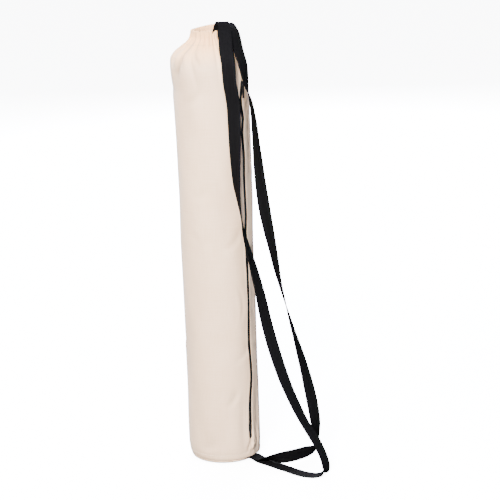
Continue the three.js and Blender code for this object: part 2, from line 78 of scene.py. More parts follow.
# angle, width in degrees, depth share, how far it runs down, and how far it leans on the way
creases = [
    (-40, 5, 1, 0.9, 3), (-62, 4.5, 0.8, 0.55, 6), (-84, 5, 1, 1, 15), (-103, 4.5, 0.8, 0.6, 13),
    (-122, 6, 0.9, 0.8, 8), (-146, 5, 0.7, 0.45, 4), (-169, 6, 1, 0.9, -5), (167, 5, 0.8, 0.5, 6),
    (145, 6, 0.9, 0.8, -6), (121, 4.5, 0.7, 0.4, 4), (100, 6, 1, 0.9, 5), (77, 4.5, 0.8, 0.45, -4),
    (55, 5, 0.9, 0.7, 4), (-51, 3, 0.55, 0.25, 2), (-73, 3, 0.6, 0.2, -3), (-93, 2.6, 0.6, 0.3, 5),
    (-113, 3, 0.6, 0.22, 2), (-133, 3, 0.6, 0.25, -4), (-157, 3, 0.55, 0.2, 3),
    (178, 3, 0.6, 0.3, -3), (156, 3, 0.55, 0.22, 3), (133, 3, 0.6, 0.3, -2),
    (110, 3, 0.55, 0.2, 3), (88, 3, 0.6, 0.3, -3), (66, 3, 0.55, 0.2, 2), (-28, 4, 0.5, 0.5, 2),
    (-12, 3.5, 0.45, 0.35, -2), (6, 4, 0.5, 0.45, 1), (24, 4, 0.5, 0.4, -2), (39, 4, 0.6, 0.5, 2),
]

# height share, tallness share, angle, width in degrees, depth share
dents = [
    (0.09, 0.06, -17, 7, 0.8), (0.045, 0.02, 0, 6, -0.6), (0.1, 0.07, 17, 8, 0.9),
    (0.42, 0.16, 20, 9, 0.7), (0.72, 0.09, 22, 9, 0.8), (0.3, 0.06, -48, 16, 0.35),
    (0.86, 0.035, -58, 22, 0.7), (0.87, 0.03, -118, 18, 0.5), (0.85, 0.04, 150, 20, 0.6),
    (0.5, 0.1, 110, 24, 0.4), (0.22, 0.09, 190, 26, 0.35),
]

# soft wrinkles of the body: from angle and height, to angle and height, width and depth
wrinkles = [
    (-28, 122, -45, 98, 5, 0.7), (-4, 190, -33, 170, 4.5, 0.6), (-20, 290, -17, 232, 4, 0.55),
    (-33, 280, -28, 226, 5, 0.4), (-11, 380, -43, 354, 5, 0.55), (-97, 378, -80, 364, 5, 0.35),
    (-60, 452, -92, 436, 6, 0.3), (-7, 62, -12, 14, 3, 0.9), (8, 60, 12, 14, 3, 0.8),
    (-2, 34, -11, 20, 2.6, 0.8), (-2, 34, 8, 22, 2.6, 0.8), (-10, 20, 0, 9, 2.6, 0.6),
    (14, 190, 34, 168, 5, 0.5), (12, 330, 38, 352, 5, 0.5), (16, 470, 40, 448, 5, 0.45),
    (10, 560, 30, 582, 4.5, 0.5), (100, 130, 132, 112, 6, 0.4), (150, 300, 185, 322, 7, 0.4),
    (-130, 210, -160, 190, 6, 0.4), (80, 420, 112, 400, 6, 0.4), (170, 520, 206, 540, 6, 0.4),
    (-70, 600, -98, 584, 6, 0.5), (60, 606, 92, 592, 6, 0.5), (-120, 596, -150, 606, 6, 0.45),
    (-66, 40, -92, 26, 6, 0.4), (64, 44, 96, 28, 6, 0.4), (170, 44, 200, 28, 6, 0.4),
]

sideZip = {
    "bottom": 38,
    "top": 612,
    "welt": 0.45,  # how far the folded cloth beside the slit stands proud
    "weltEdge": (6.0, 8.2),  # from the slit's middle, where it falls away
    "stitches": 4.9,  # from the slit's middle to each row of stitches
    "stitchesRun": (26, 626),
}
# height share along the zip, and its angle, because the seam wanders a little
zipWander = np.array([
    [0, -4], [0.1, -3], [0.19, 2], [0.28, 0], [0.4, 2.5], [0.58, 0.5], [0.64, 2.5], [0.73, 1.5],
    [0.8, 3], [0.86, 0.5], [0.9, 3], [0.94, -1.5], [1, 3],
])

# turns round the bag, turn with height, start and size of the slack's soft waves
slackWaves = [
    (2, 0.011, 0.7, 0.35), (3, -0.019, 2.1, 0.3), (5, 0.027, 4.0, 0.22), (7, -0.041, 1.2, 0.16),
    (11, 0.063, 5.1, 0.1),
]

radians = np.radians


def smooth(value, low, high):
    t = np.clip((np.asarray(value, float) - low) / (high - low), 0, 1)
    return t * t * (3 - 2 * t)


def bump(angle, at, wide):
    away = (np.asarray(angle, float) - at + 180) % 360 - 180
    return np.exp(-((away / wide) ** 2))


def pinch(angle, at, wide):  # a sharper valley than bump, as cloth makes where it is drawn in
    away = np.abs((np.asarray(angle, float) - at + 180) % 360 - 180) / wide
    return np.exp(-(away ** 1.25) * 1.15)


def curveThrough(xs, ys, at):  # smooth through all rows of a table, without swinging past them
    xs, ys, at = np.asarray(xs, float), np.asarray(ys, float), np.asarray(at, float)
    steps = np.diff(ys) / np.diff(xs)
    middle = (steps[1:] + steps[:-1]) / 2
    limit = 3 * np.minimum(np.abs(steps[1:]), np.abs(steps[:-1]))
    gentle = np.sign(middle) * np.minimum(np.abs(middle), limit)
    middle = np.where(steps[1:] * steps[:-1] <= 0, 0, gentle)
    slopes = np.concatenate([[steps[0]], middle, [steps[-1]]])
    i = np.clip(np.searchsorted(xs, at) - 1, 0, len(xs) - 2)
    width = xs[i + 1] - xs[i]
    t = np.clip((at - xs[i]) / width, 0, 1)
    return (
        (2 * t ** 3 - 3 * t ** 2 + 1) * ys[i] + (t ** 3 - 2 * t ** 2 + t) * width * slopes[i]
        + (3 * t ** 2 - 2 * t ** 3) * ys[i + 1] + (t ** 3 - t ** 2) * width * slopes[i + 1]
    )


aroundDegree = bag["bodyRadius"] * math.pi / 180  # mm of cloth for one degree
rimHeight = bag["height"]
channelTop = rimHeight - 1.5
casingMiddle = (channelTop + bag["channelFoot"]) / 2
skinHeights = np.concatenate([
    [bag["seamHeight"]], profile[1:, 0] * rimHeight,
    bag["channelFoot"] + neckRows[:, 0] * (rimHeight - bag["channelFoot"]),
])
neckRadii = bag["neckRadius"] + neckRows[:, 1] * (bag["bodyRadius"] - bag["neckRadius"])
farRadii = np.concatenate([profile[:, 1] * bag["bodyRadius"], neckRadii])
nearRadii = np.concatenate([profile[:, 2] * bag["bodyRadius"], neckRadii])


def lift(angle):  # the rim is higher on the side where the strap lies over it
    return bag["rimLift"] * (0.5 + 0.5 * np.cos(radians(np.asarray(angle, float) - bag["rimLiftAt"]))) ** 2


def liftedHeight(angle, height):
    return height + lift(angle) * smooth(height, bag["liftFoot"] * rimHeight, casingMiddle)


def skin(angle, height):  # outside of the cloth at any angle and height
    angle, height = np.broadcast_arrays(np.asarray(angle, float), np.asarray(height, float))
    near = 0.5 + 0.5 * np.cos(radians(angle - bag["strapSide"]))
    radius = (1 - near) * curveThrough(skinHeights, farRadii, height)
    radius = radius + near * curveThrough(skinHeights, nearRadii, height)
    shoulderFoot = bag["shoulderFoot"] * rimHeight
    above = smooth(height, bag["channelFoot"], casingMiddle)
    for at, wide, deep, run, lean in creases:
        foot = bag["channelFoot"] + run * (shoulderFoot - bag["channelFoot"])
        below = smooth(height, foot, bag["channelFoot"] + 2)
        depth = bag["shoulderFold"] * below * (1 - above) + bag["gatherDepth"] * above
        leaned = at + lean * (1 - below) * smooth(height, foot - 30, foot)
        spread = wide * (1.5 - 0.5 * below)
        radius = radius - depth * deep * pinch(angle, leaned, spread)
    for high, tall, at, wide, deep in dents:
        level = np.exp(-(((height / rimHeight - high) / tall) ** 2))
        radius = radius - bag["dentDepth"] * deep * level * bump(angle, at, wide)
    return radius


def wrinkled(angle, height):  # how far wrinkles and slack move the cloth out
    angle, height = np.broadcast_arrays(np.asarray(angle, float), np.asarray(height, float))
    out = np.zeros(angle.shape)
    for fromAngle, fromHeight, toAngle, toHeight, wide, deep in wrinkles:
        turned = (angle - fromAngle + 180) % 360 - 180
        x, y = turned * aroundDegree, height - fromHeight
        runX, runY = (toAngle - fromAngle) * aroundDegree, toHeight - fromHeight
        length = math.hypot(runX, runY)
        along = (x * runX + y * runY) / length ** 2
        bow = 0.12 * length * np.sin(np.clip(along, 0, 1) * math.pi)
        aside = (y * runX - x * runY) / length - bow
        fade = smooth(along, -0.15, 0.3) * (1 - smooth(along, 0.65, 1.2))
        ridge = np.exp(-(((aside - 1.9 * wide) / wide) ** 2))
        valley = np.exp(-((aside / wide) ** 2)) - 0.55 * ridge
        out = out - bag["wrinkleDepth"] * deep * fade * valley
    a = radians(angle)
    slack = sum(size * np.sin(turns * a + height * climb + start) for turns, climb, start, size in slackWaves)
    calm = smooth(height, 4, 40) * (1 - smooth(height, 600, 660))
    return out + slack * calm


def zipAngle(height):
    share = (np.asarray(height, float) - sideZip["bottom"]) / (sideZip["top"] - sideZip["bottom"])
    return curveThrough(zipWander[:, 0], zipWander[:, 1], share)


def place(angle, radius, height):
    angle, radius, height = np.broadcast_arrays(angle, radius, height)
    a = radians(angle)
    return np.stack([radius * np.cos(a), radius * np.sin(a), height], axis=-1)


def meshFrom(name, points, faces, uvs=None, paintedFoldShade=None):  # points and their uvs in millimetres
    mesh = bpy.data.meshes.new(name)
    mesh.from_pydata((np.asarray(points) * mm).tolist(), [], [list(map(int, f)) for f in faces])
    if uvs is not None:
        layer = mesh.uv_layers.new(name="cloth")
        corners = np.empty(len(mesh.loops), dtype=np.int32)
        mesh.loops.foreach_get("vertex_index", corners)
        layer.data.foreach_set("uv", (np.asarray(uvs)[corners] * mm).ravel().astype(np.float32))
    if paintedFoldShade is not None:  # painted shade: how deep in a fold or seam each point lies, darkening the canvas's colour there, where shade falls
        depth = mesh.attributes.new("paintedFoldShade", "FLOAT", "POINT")
        share = np.clip(np.asarray(paintedFoldShade, float).ravel(), 0, 1)
        depth.data.foreach_set("value", share.astype(np.float32))
    mesh.polygons.foreach_set("use_smooth", [True] * len(mesh.polygons))
    mesh.update()
    piece = bpy.data.objects.new(name, mesh)
    bpy.context.collection.objects.link(piece)
    return piece


def gridFaces(rows, columns, isClosed=False, keep=None):
    faces = []
    for i in range(rows - 1):
        for j in range(columns if isClosed else columns - 1):
            if keep is None or keep(i, j):
                here, beside = i * columns + j, i * columns + (j + 1) % columns
                faces.append((here, beside, beside + columns, here + columns))
    return faces


def tubeFaces(rows, columns, start):  # a closed tube with both its ends, its points from start on
    faces = [tuple(k + start for k in face) for face in gridFaces(rows, columns, isClosed=True)]
    first = tuple(start + j for j in reversed(range(columns)))
    last = tuple(start + (rows - 1) * columns + j for j in range(columns))
    return faces + [first, last]


def select(piece):
    bpy.ops.object.select_all(action="DESELECT")
    piece.select_set(True)
    bpy.context.view_layer.objects.active = piece


def applyModifier(piece, kind, **settings):
    select(piece)
    modifier = piece.modifiers.new(kind.title(), kind)
    for key, value in settings.items():
        setattr(modifier, key, value)
    bpy.ops.object.modifier_apply(modifier=modifier.name)


def weld(piece, distance=0.00002):
    select(piece)
    bpy.ops.object.mode_set(mode="EDIT")
    bpy.ops.mesh.select_all(action="SELECT")
    bpy.ops.mesh.remove_doubles(threshold=distance)
    bpy.ops.object.mode_set(mode="OBJECT")


def colour(code):  # sRGB hex to the linear colour that sockets take
    channels = [int(code[i:i + 2], 16) / 255 for i in (1, 3, 5)]
    return tuple(c / 12.92 if c <= 0.04045 else ((c + 0.055) / 1.055) ** 2.4 for c in channels) + (1,)


def add(tree, kind, inputs=None, **settings):  # a node with its settings, values and links
    node = tree.nodes.new(kind)
    for key, value in settings.items():
        setattr(node, key, value)
    for socket, value in (inputs or {}).items():
        if isinstance(value, bpy.types.NodeSocket):
            tree.links.new(value, node.inputs[socket])
        else:
            node.inputs[socket].default_value = value
    return node


def newMaterial(name, **values):  # a material with its shader, and uniform values set on the shader
    material = bpy.data.materials.new(name)
    material.use_nodes = True
    tree = material.node_tree
    shader = tree.nodes["Principled BSDF"]
    for socket, value in values.items():
        shader.inputs[socket.replace("_", " ")].default_value = value
    return material, tree, shader


def maths(tree, operation, *values):
    return add(tree, "ShaderNodeMath", dict(enumerate(values)), operation=operation).outputs[0]


def mixed(tree, share, first, second):  # a colour between two colours
    return add(tree, "ShaderNodeMix", {0: share, 6: first, 7: second}, data_type="RGBA").outputs[2]


def raised(tree, shader, height, strength, deep):  # fine relief, deep in millimetres
    relief = add(tree, "ShaderNodeBump", {"Height": height, "Strength": strength, "Distance": deep * mm})
    tree.links.new(relief.outputs[0], shader.inputs["Normal"])


def weaveHeight(tree, across, along, pitch):
    # plain weave, rounded threads both ways, each over the other in turn
    u = maths(tree, "MULTIPLY", across, math.pi / (pitch * mm))
    v = maths(tree, "MULTIPLY", along, math.pi / (pitch * mm))
    sinU, sinV = maths(tree, "SINE", u), maths(tree, "SINE", v)
    over = maths(tree, "MULTIPLY", maths(tree, "MULTIPLY", sinU, sinV), 0.45)
    warp = maths(tree, "MULTIPLY", maths(tree, "ABSOLUTE", sinU), maths(tree, "ADD", 0.55, over))
    weft = maths(tree, "MULTIPLY", maths(tree, "ABSOLUTE", sinV), maths(tree, "SUBTRACT", 0.55, over))
    return maths(tree, "MAXIMUM", warp, weft)


canvasLook = {
    "base": "#dbbfa2",  # unbleached cotton
    "dullToneAndHollowShade": "#ccad8d",  # painted shade in the hollows between threads, and the real tone of duller patches
    "fleck": "#a07c52",  # bits of seed husk
    "pitch": 0.95,  # threads; real duck has 0.6 mm, which would not show in the render
    "paintedFoldShade": "#98806a",  # painted shade deep in pleats, puckers and seams
    "mottle": 38,  # mm, patches of slightly different tone
    "wobble": (14, 1.2),  # mm, threads sway by the second over the first
    "warpSlub": (900, 30, 1),  # noise steps a metre, so that a thread stays thick over some 30 mm
    "weftSlub": (24, 900, 1),
    "seeds": 11,  # mm between flecks
    "neckBounceFrom": 0.636,  # metres above the floor
    "neckBounceTo": 0.668,
    "neckBounce": "#e0b07e",  # painted warm bounce light: the neck is a little yellower, as light bounces between its folds and shines through them
}


def canvasMaterial():
    # Woven cotton, matt, with soft fuzz at grazing angles.
    material, tree, shader = newMaterial(
        "unbleachedCottonDuck", Roughness=0.93, Sheen_Weight=0.12, Sheen_Roughness=0.45,
        Specular_IOR_Level=0.22,
    )
    uv = add(tree, "ShaderNodeUVMap", uv_map="cloth").outputs[0]
    split = add(tree, "ShaderNodeSeparateXYZ", {0: uv})
    place3d = add(tree, "ShaderNodeTexCoord").outputs["Object"]
    over, sway = canvasLook["wobble"]
    swayMap = {"Vector": place3d, "Scale": 1000 / over, "Detail": 1.0}
    wobble = add(tree, "ShaderNodeTexNoise", swayMap).outputs[0]
    wobble = maths(tree, "MULTIPLY", maths(tree, "SUBTRACT", wobble, 0.5), sway * mm)
    across = maths(tree, "ADD", split.outputs[0], wobble)
    along = maths(tree, "ADD", split.outputs[1], wobble)
    threads = weaveHeight(tree, across, along, canvasLook["pitch"])

    warpMap = add(tree, "ShaderNodeMapping", {"Vector": uv, "Scale": canvasLook["warpSlub"]}).outputs[0]
    weftMap = add(tree, "ShaderNodeMapping", {"Vector": uv, "Scale": canvasLook["weftSlub"]}).outputs[0]
    warpSlub = add(tree, "ShaderNodeTexNoise", {"Vector": warpMap, "Scale": 1.0, "Detail": 2.0}).outputs[0]
    weftSlub = add(tree, "ShaderNodeTexNoise", {"Vector": weftMap, "Scale": 1.0, "Detail": 2.0}).outputs[0]
    slub = maths(tree, "ADD", warpSlub, weftSlub)  # thicker stretches of single threads
    patch = add(
        tree, "ShaderNodeTexNoise",
        {"Vector": place3d, "Scale": 1000 / canvasLook["mottle"], "Detail": 3.0, "Roughness": 0.55},
    ).outputs[0]
    slubTone = maths(tree, "MULTIPLY", maths(tree, "SUBTRACT", slub, 1.0), 0.9)
    toneAndHollowShade = maths(tree, "ADD", slubTone, maths(tree, "MULTIPLY", patch, 0.7))
    # painted shade: darker in the hollows between threads
    toneAndHollowShade = maths(tree, "ADD", toneAndHollowShade, maths(tree, "MULTIPLY", maths(tree, "SUBTRACT", 0.75, threads), 0.22))
    toneAndHollowShade = add(tree, "ShaderNodeClamp", {0: toneAndHollowShade}).outputs[0]
    body = mixed(tree, toneAndHollowShade, colour(canvasLook["base"]), colour(canvasLook["dullToneAndHollowShade"]))
    # painted warm bounce light, yellower up the neck
    level = add(tree, "ShaderNodeSeparateXYZ", {0: place3d}).outputs[2]
    neckRange = {0: level, 1: canvasLook["neckBounceFrom"], 2: canvasLook["neckBounceTo"], 3: 0.0, 4: 1.0}
    neckBounceShare = add(tree, "ShaderNodeMapRange", neckRange).outputs[0]
    body = mixed(tree, neckBounceShare, body, colour(canvasLook["neckBounce"]))
    # painted shade: darker in pleats, wrinkles, seam grooves and recesses, read from the mesh's attribute
    paintedFoldShadeMask = add(tree, "ShaderNodeAttribute", attribute_name="paintedFoldShade").outputs["Fac"]
    body = mixed(tree, paintedFoldShadeMask, body, colour(canvasLook["paintedFoldShade"]))
    seedMap = {"Vector": place3d, "Scale": 1000 / canvasLook["seeds"]}
    seeds = add(tree, "ShaderNodeTexVoronoi", seedMap, feature="F1").outputs[0]
    fleck = add(tree, "ShaderNodeMapRange", {0: seeds, 1: 0.03, 2: 0.055, 3: 0.55, 4: 0.0}).outputs[0]
    tree.links.new(mixed(tree, fleck, body, colour(canvasLook["fleck"])), shader.inputs["Base Color"])
    raised(tree, shader, maths(tree, "ADD", threads, maths(tree, "MULTIPLY", slub, 0.5)), 0.55, 0.22)
    return material


webbingLook = {
    "base": "#080809",  # black cotton webbing
    "high": "#101012",  # painted highlight on the thread tops
    "ribs": 1.5,  # mm from rib to rib across the strap
    "picks": 1.1,  # mm from weft to weft along it
    "slant": 0.5,  # mm, how far a weft runs aslant from rib to rib
    "fuzz": (1500, 300, 1),  # noise steps a metre
}


def webbingMaterial():
    # Heavy cotton twill tape: fine ribs along it, matt, with highlights painted on the thread tops.
    material, tree, shader = newMaterial(
        "blackCottonWebbing", Roughness=0.9, Sheen_Weight=0.0, Specular_IOR_Level=0.015,
    )
    uv = add(tree, "ShaderNodeUVMap", uv_map="cloth").outputs[0]
    split = add(tree, "ShaderNodeSeparateXYZ", {0: uv})
    across, along = split.outputs[0], split.outputs[1]
    rib = maths(tree, "SINE", maths(tree, "MULTIPLY", across, 2 * math.pi / (webbingLook["ribs"] * mm)))
    aslant = maths(tree, "MULTIPLY", maths(tree, "ABSOLUTE", rib), webbingLook["slant"] * mm)
    slant = maths(tree, "ADD", along, aslant)
    pick = maths(tree, "SINE", maths(tree, "MULTIPLY", slant, 2 * math.pi / (webbingLook["picks"] * mm)))
    fuzzMap = add(tree, "ShaderNodeMapping", {"Vector": uv, "Scale": webbingLook["fuzz"]}).outputs[0]
    fuzz = add(tree, "ShaderNodeTexNoise", {"Vector": fuzzMap, "Scale": 1.0, "Detail": 2.0}).outputs[0]
    height = maths(tree, "ADD", rib, maths(tree, "MULTIPLY", pick, 0.45))
    height = maths(tree, "ADD", height, fuzz)
    # painted highlight: lighter where the ribs and picks stand highest
    paintedTopHighlight = add(tree, "ShaderNodeMapRange", {0: height, 1: 0.2, 2: 1.9, 3: 0.0, 4: 0.85}).outputs[0]
    final = mixed(tree, paintedTopHighlight, colour(webbingLook["base"]), colour(webbingLook["high"]))
    tree.links.new(final, shader.inputs["Base Color"])
    raised(tree, shader, height, 0.7, 0.18)
    return material


tapeLook = {"high": "#111113", "low": "#09090a", "pitch": 0.7}  # black, with a painted highlight on the thread tops and painted shade between them; threads in mm


def tapeMaterial():
    # Woven polyester zip tape, a tight flat weave without gloss.
    material, tree, shader = newMaterial(
        "wovenZipTape", Roughness=0.85, Sheen_Weight=0.02, Specular_IOR_Level=0.08,
    )
    uv = add(tree, "ShaderNodeUVMap", uv_map="cloth").outputs[0]
    split = add(tree, "ShaderNodeSeparateXYZ", {0: uv})
    threads = weaveHeight(tree, split.outputs[0], split.outputs[1], tapeLook["pitch"])
    # painted light and shade: lighter on the thread tops, darker in the hollows
    final = mixed(tree, threads, colour(tapeLook["low"]), colour(tapeLook["high"]))
    tree.links.new(final, shader.inputs["Base Color"])
    raised(tree, shader, threads, 0.5, 0.12)
    return material


threadLook = {"light": "#e4d2bc", "dark": "#cdb79c", "twist": 1.2}  # mm for one turn of the plies; dark is painted shade in the grooves between them


def threadMaterial():
    # Spun cotton sewing thread, two plies twisted together, slightly glossier than the canvas.
    material, tree, shader = newMaterial(
        "creamSewingThread", Roughness=0.7, Sheen_Weight=0.2, Specular_IOR_Level=0.35,
    )
    place3d = add(tree, "ShaderNodeTexCoord").outputs["Object"]
    waves = {"Vector": place3d, "Scale": 1000 / threadLook["twist"] / 6.28, "Distortion": 1.0}
    twist = add(tree, "ShaderNodeTexWave", waves, bands_direction="DIAGONAL").outputs[1]
    # painted shade in the grooves between the plies, lighter on their crowns
    final = mixed(tree, twist, colour(threadLook["dark"]), colour(threadLook["light"]))
    tree.links.new(final, shader.inputs["Base Color"])
    raised(tree, shader, twist, 0.5, 0.1)
    return material


nylonLook = {"dark": "#070708", "light": "#0e0e10", "grain": 0.8}  # grain in mm


def nylonMaterial():
    # Drawn nylon monofilament, smooth and slightly glossy.
    material, tree, shader = newMaterial("nylonCoil", Roughness=0.42, IOR=1.53, Specular_IOR_Level=0.15)
    place3d = add(tree, "ShaderNodeTexCoord").outputs["Object"]
    grain = {"Vector": place3d, "Scale": 1000 / nylonLook["grain"], "Detail": 2.0}
    drawn = add(tree, "ShaderNodeTexNoise", grain).outputs[0]
    final = mixed(tree, drawn, colour(nylonLook["dark"]), colour(nylonLook["light"]))
    tree.links.new(final, shader.inputs["Base Color"])
    rough = add(tree, "ShaderNodeMapRange", {0: drawn, 3: 0.36, 4: 0.52}).outputs[0]
    tree.links.new(rough, shader.inputs["Roughness"])
    return material


enamelLook = {"base": "#080809", "rubbed": "#18181b", "patch": 3.5}  # rubbed patches in mm


def enamelMaterial():
    # Die-cast zinc with black enamel, a hard even gloss, rubbed to a duller grey here and there.
    material, tree, shader = newMaterial(
        "blackEnamelledZinc", Metallic=0.0, Coat_Weight=0.12, Coat_Roughness=0.25, Specular_IOR_Level=0.2,
    )
    place3d = add(tree, "ShaderNodeTexCoord").outputs["Object"]
    patches = {"Vector": place3d, "Scale": 1000 / enamelLook["patch"], "Detail": 4.0}
    rubbed = add(tree, "ShaderNodeTexNoise", patches).outputs[0]
    wear = add(tree, "ShaderNodeMapRange", {0: rubbed, 1: 0.55, 2: 0.75}).outputs[0]
    final = mixed(tree, wear, colour(enamelLook["base"]), colour(enamelLook["rubbed"]))
    tree.links.new(final, shader.inputs["Base Color"])
    rough = add(tree, "ShaderNodeMapRange", {0: rubbed, 3: 0.28, 4: 0.5}).outputs[0]
    tree.links.new(rough, shader.inputs["Roughness"])
    return material


canvas = canvasMaterial()
webbing = webbingMaterial()
tapeCloth = tapeMaterial()
seamThread = threadMaterial()
nylon = nylonMaterial()
enamel = enamelMaterial()
print("materials ready")


def openShare(height):  # 1 where the zip's slit is open, 0 past its ends
    fromBelow = smooth(height, sideZip["bottom"] - 4, sideZip["bottom"] + 3)
    return fromBelow * (1 - smooth(height, sideZip["top"] - 3, sideZip["top"] + 3))


def besideSlit(angle, height):  # mm of cloth from the slit's middle
    return ((angle - zipAngle(height) + 180) % 360 - 180) * aroundDegree


def weltUp(offset, height):  # the folded cloth beside the zip stands proud as far as its stitches
    ends = smooth(height, 12, 30) * (1 - smooth(height, 622, 640))
    return sideZip["welt"] * ends * (1 - smooth(np.abs(offset), *sideZip["weltEdge"]))


hem = {
    "rise": 0.55,  # rolled seam allowance above the base seam
    "pucker": 0.3,  # its puckers stand out by this much more
    "puckers": 41,  # all round
    "stitches": 14.5,  # height of the row above it
}


def hemUp(angle, height):
    roll = smooth(height, 5, 7) * (1 - smooth(height, 10, 15))
    a = radians(np.asarray(angle, float))
    puckers = 0.5 + 0.5 * np.sin(hem["puckers"] * a + 1.7 * np.sin(3 * a) + 0.9 * np.sin(7 * a + 1))
    return roll * (hem["rise"] + hem["pucker"] * puckers)


# pleats that the drawn-in neck throws down the shoulder: angle, width in degrees, depth, foot, lean
pleats = [
    (-134, 3.4, 1.5, 644, -8), (-121, 3.0, 1.1, 652, 7), (-106, 3.0, 1.2, 650, -12),
    (-97, 4.0, 3.4, 612, -14),
    (-88, 2.2, 1.6, 652, 16), (-79, 3.4, 2.2, 630, 17), (-71, 2.0, 1.7, 662, -6), (-64, 2.6, 1.9, 654, 22),
    (-57, 2.0, 1.6, 660, 16), (-49, 2.4, 2.0, 652, 20), (-41, 2.0, 1.3, 656, 9), (-33, 2.6, 1.7, 640, 5),
    (-26, 2.4, 1.2, 650, 3), (-16, 2.6, 1.1, 648, -2), (-5, 2.6, 1.0, 646, 2), (8, 2.6, 1.1, 650, -3),
    (19, 2.6, 1.2, 646, 3), (30, 2.4, 1.1, 650, -2),
]
wander = np.random.default_rng(11)  # for the pleats round the back, which the photo doesn't show
pleats += [
    (at + wander.uniform(-2.5, 2.5), wander.uniform(2.2, 3.6), wander.uniform(1.1, 2.5),
     wander.uniform(626, 656), wander.uniform(-9, 9))
    for at in np.arange(42, 222, 9.0)
]
drawnIn = 1.4  # how far the cloth below the casing is drawn in as a whole


def drawn(height):
    return drawnIn * smooth(height, 632, 655)


def pleated(angle, height):
    out = np.zeros(np.broadcast(angle, height).shape)
    for at, wide, deep, foot, lean in pleats:
        down = smooth(height, foot, foot + 22) * (1 - 0.35 * smooth(height, 672, 686))
        leaned = at + lean * (1 - smooth(height, foot - 6, 668))
        spread = wide * (2.2 - 1.2 * smooth(height, foot, 664))
        valley = pinch(angle, leaned, spread) - 0.42 * bump(angle, leaned + 1.9 * spread, 1.2 * spread)
        out = out - deep * down * (valley - 0.42 * bump(angle, leaned - 1.9 * spread, 1.2 * spread))
    return out - drawn(height)


def cloth(angle, height):  # finished outside of the body
    relief = wrinkled(angle, height) + weltUp(besideSlit(angle, height), height)
    return skin(angle, height) + relief + hemUp(angle, height) + pleated(angle, height)


def line(value, at, wide):  # a soft line of colour
    return np.exp(-(((value - at) / wide) ** 2))


def paintedFoldShadeShare(angle, height):  # painted shade: how dark the cloth is painted in seam grooves, beside the zip, in pleats and wrinkles, where shade falls
    offset = np.abs(besideSlit(angle, height))
    along = smooth(height, 14, 30) * (1 - smooth(height, 624, 640))
    seams = 0.5 * line(height, 5.4, 0.9) + 0.28 * line(height, 15.2, 1.0)
    seams = seams + along * (0.2 * line(offset, 5.0, 0.6) + 0.22 * line(offset, 8.3, 1.2))
    pulled = np.clip(-(pleated(angle, height) + drawn(height)) / 2.6, 0, 1)
    return seams + 0.6 * pulled + 0.3 * np.clip(-wrinkled(angle, height) / 1.8, 0, 1)


# offset from the zip's middle and depth below the cloth, with the slit open and with it closed
lipColumns = [
    (2.95, 1.6, 0.0, 1.0), (2.9, 1.1, 0.2, 0.75), (2.95, 0.55, 0.5, 0.4), (3.1, 0.2, 0.95, 0.12),
    (3.35, 0.02, 1.7, 0.0), (3.75, 0.0, 2.9, 0.0), (4.3, 0.02, 3.9, 0.02), (4.9, 0.2, 4.7, 0.2),
    (5.5, 0.02, 5.5, 0.02), (6.3, 0.0, 6.3, 0.0), (7.3, 0.0, 7.3, 0.0), (8.5, 0.0, 8.5, 0.0),
    (9.9, 0.0, 9.9, 0.0),
]


bodyRows = np.concatenate([
    [5.6, 5.7, 6.2, 7, 8, 9.2, 10.6, 12.2, 14], np.arange(16.5, 60, 3.1), np.arange(61, 596, 5.2),
    np.arange(597.5, 664, 1.8), [664.8, 666.2, bag["channelFoot"]],
])
# share of the way in to the lining, drop and length of cloth of the shelf's rows
shelfRows = [(0.12, -0.5, 3), (0.45, 0.1, 9), (0.8, 0.1, 15), (1, 0.5, 19)]
liningRadius = 25.4


def bodyPiece():
    halfRound = bag["bodyRadius"] * math.pi
    plain = np.linspace(11.3, halfRound, 130)
    openOffset = np.array([c[0] for c in lipColumns] + list(plain))
    openDepth = np.array([c[1] for c in lipColumns] + [0] * len(plain))
    shutOffset = np.array([c[2] for c in lipColumns] + list(plain))
    shutDepth = np.array([c[3] for c in lipColumns] + [0] * len(plain))
    heights = bodyRows
    opened = openShare(heights)[:, None]
    offsets = openOffset * opened + shutOffset * (1 - opened)
    depths = openDepth * opened + shutDepth * (1 - opened)
    offsets = np.concatenate([offsets, -offsets[:, -2::-1]], axis=1)
    depths = np.concatenate([depths, depths[:, -2::-1]], axis=1)
    grid = heights[:, None] * np.ones_like(offsets)
    followed = 1 - smooth(np.abs(offsets), 60, 170)  # the columns follow the zip's wander, less far from it
    angles = zipAngle(grid) * followed + np.degrees(offsets / bag["bodyRadius"])
    radius = cloth(angles, grid) - depths
    turnedIn = np.interp(heights, bodyRows[:3], [0.75, 0.35, 0.0])[:, None]
    points = place(angles, radius - turnedIn, liftedHeight(angles, grid))
    # shelf at the foot of the casing, drawn in to the lining
    shelf = []
    for share, drop, run in shelfRows:
        inner = radius[-1] * (1 - share) + liningRadius * share
        shelf.append(place(angles[-1], inner, liftedHeight(angles[-1], bag["channelFoot"]) - drop))
    points = np.concatenate([points, np.array(shelf)], axis=0)
    shelfRun = np.array([[row[2]] for row in shelfRows])
    grid = np.concatenate([grid, np.repeat(grid[-1:], len(shelf), axis=0) + shelfRun])
    offsets = np.concatenate([offsets, np.repeat(offsets[-1:], len(shelf), axis=0)])
    rows, columns = grid.shape
    uvs = np.stack([offsets, grid], axis=-1).reshape(-1, 2)
    # painted shade: darker in seams, pleats and wrinkles, where the lips sink into the slit, and on the shelf
    # under the casing
    paintedFoldShade = paintedFoldShadeShare(angles, heights[:, None] * np.ones_like(angles)) + 0.5 * np.clip(depths / 0.8, 0, 1)
    paintedFoldShade = np.concatenate([paintedFoldShade, np.repeat(paintedFoldShade[-1:] + 0.25, len(shelf), axis=0)])
    piece = meshFrom("canvasBody", points.reshape(-1, 3), gridFaces(rows, columns), uvs, paintedFoldShade)
    weld(piece)
    applyModifier(piece, "SOLIDIFY", thickness=bag["cloth"] * mm, offset=-1)
    piece.data.materials.append(canvas)
    return piece


basePanel = {
    "columns": 240,
    "flatRings": (6, 14, 23, 32, 40),  # radii
    "turnRings": 12,
    "slotWide": 10.5,  # degrees either way of the strap's ends
    "slotDeep": 6.5,
}


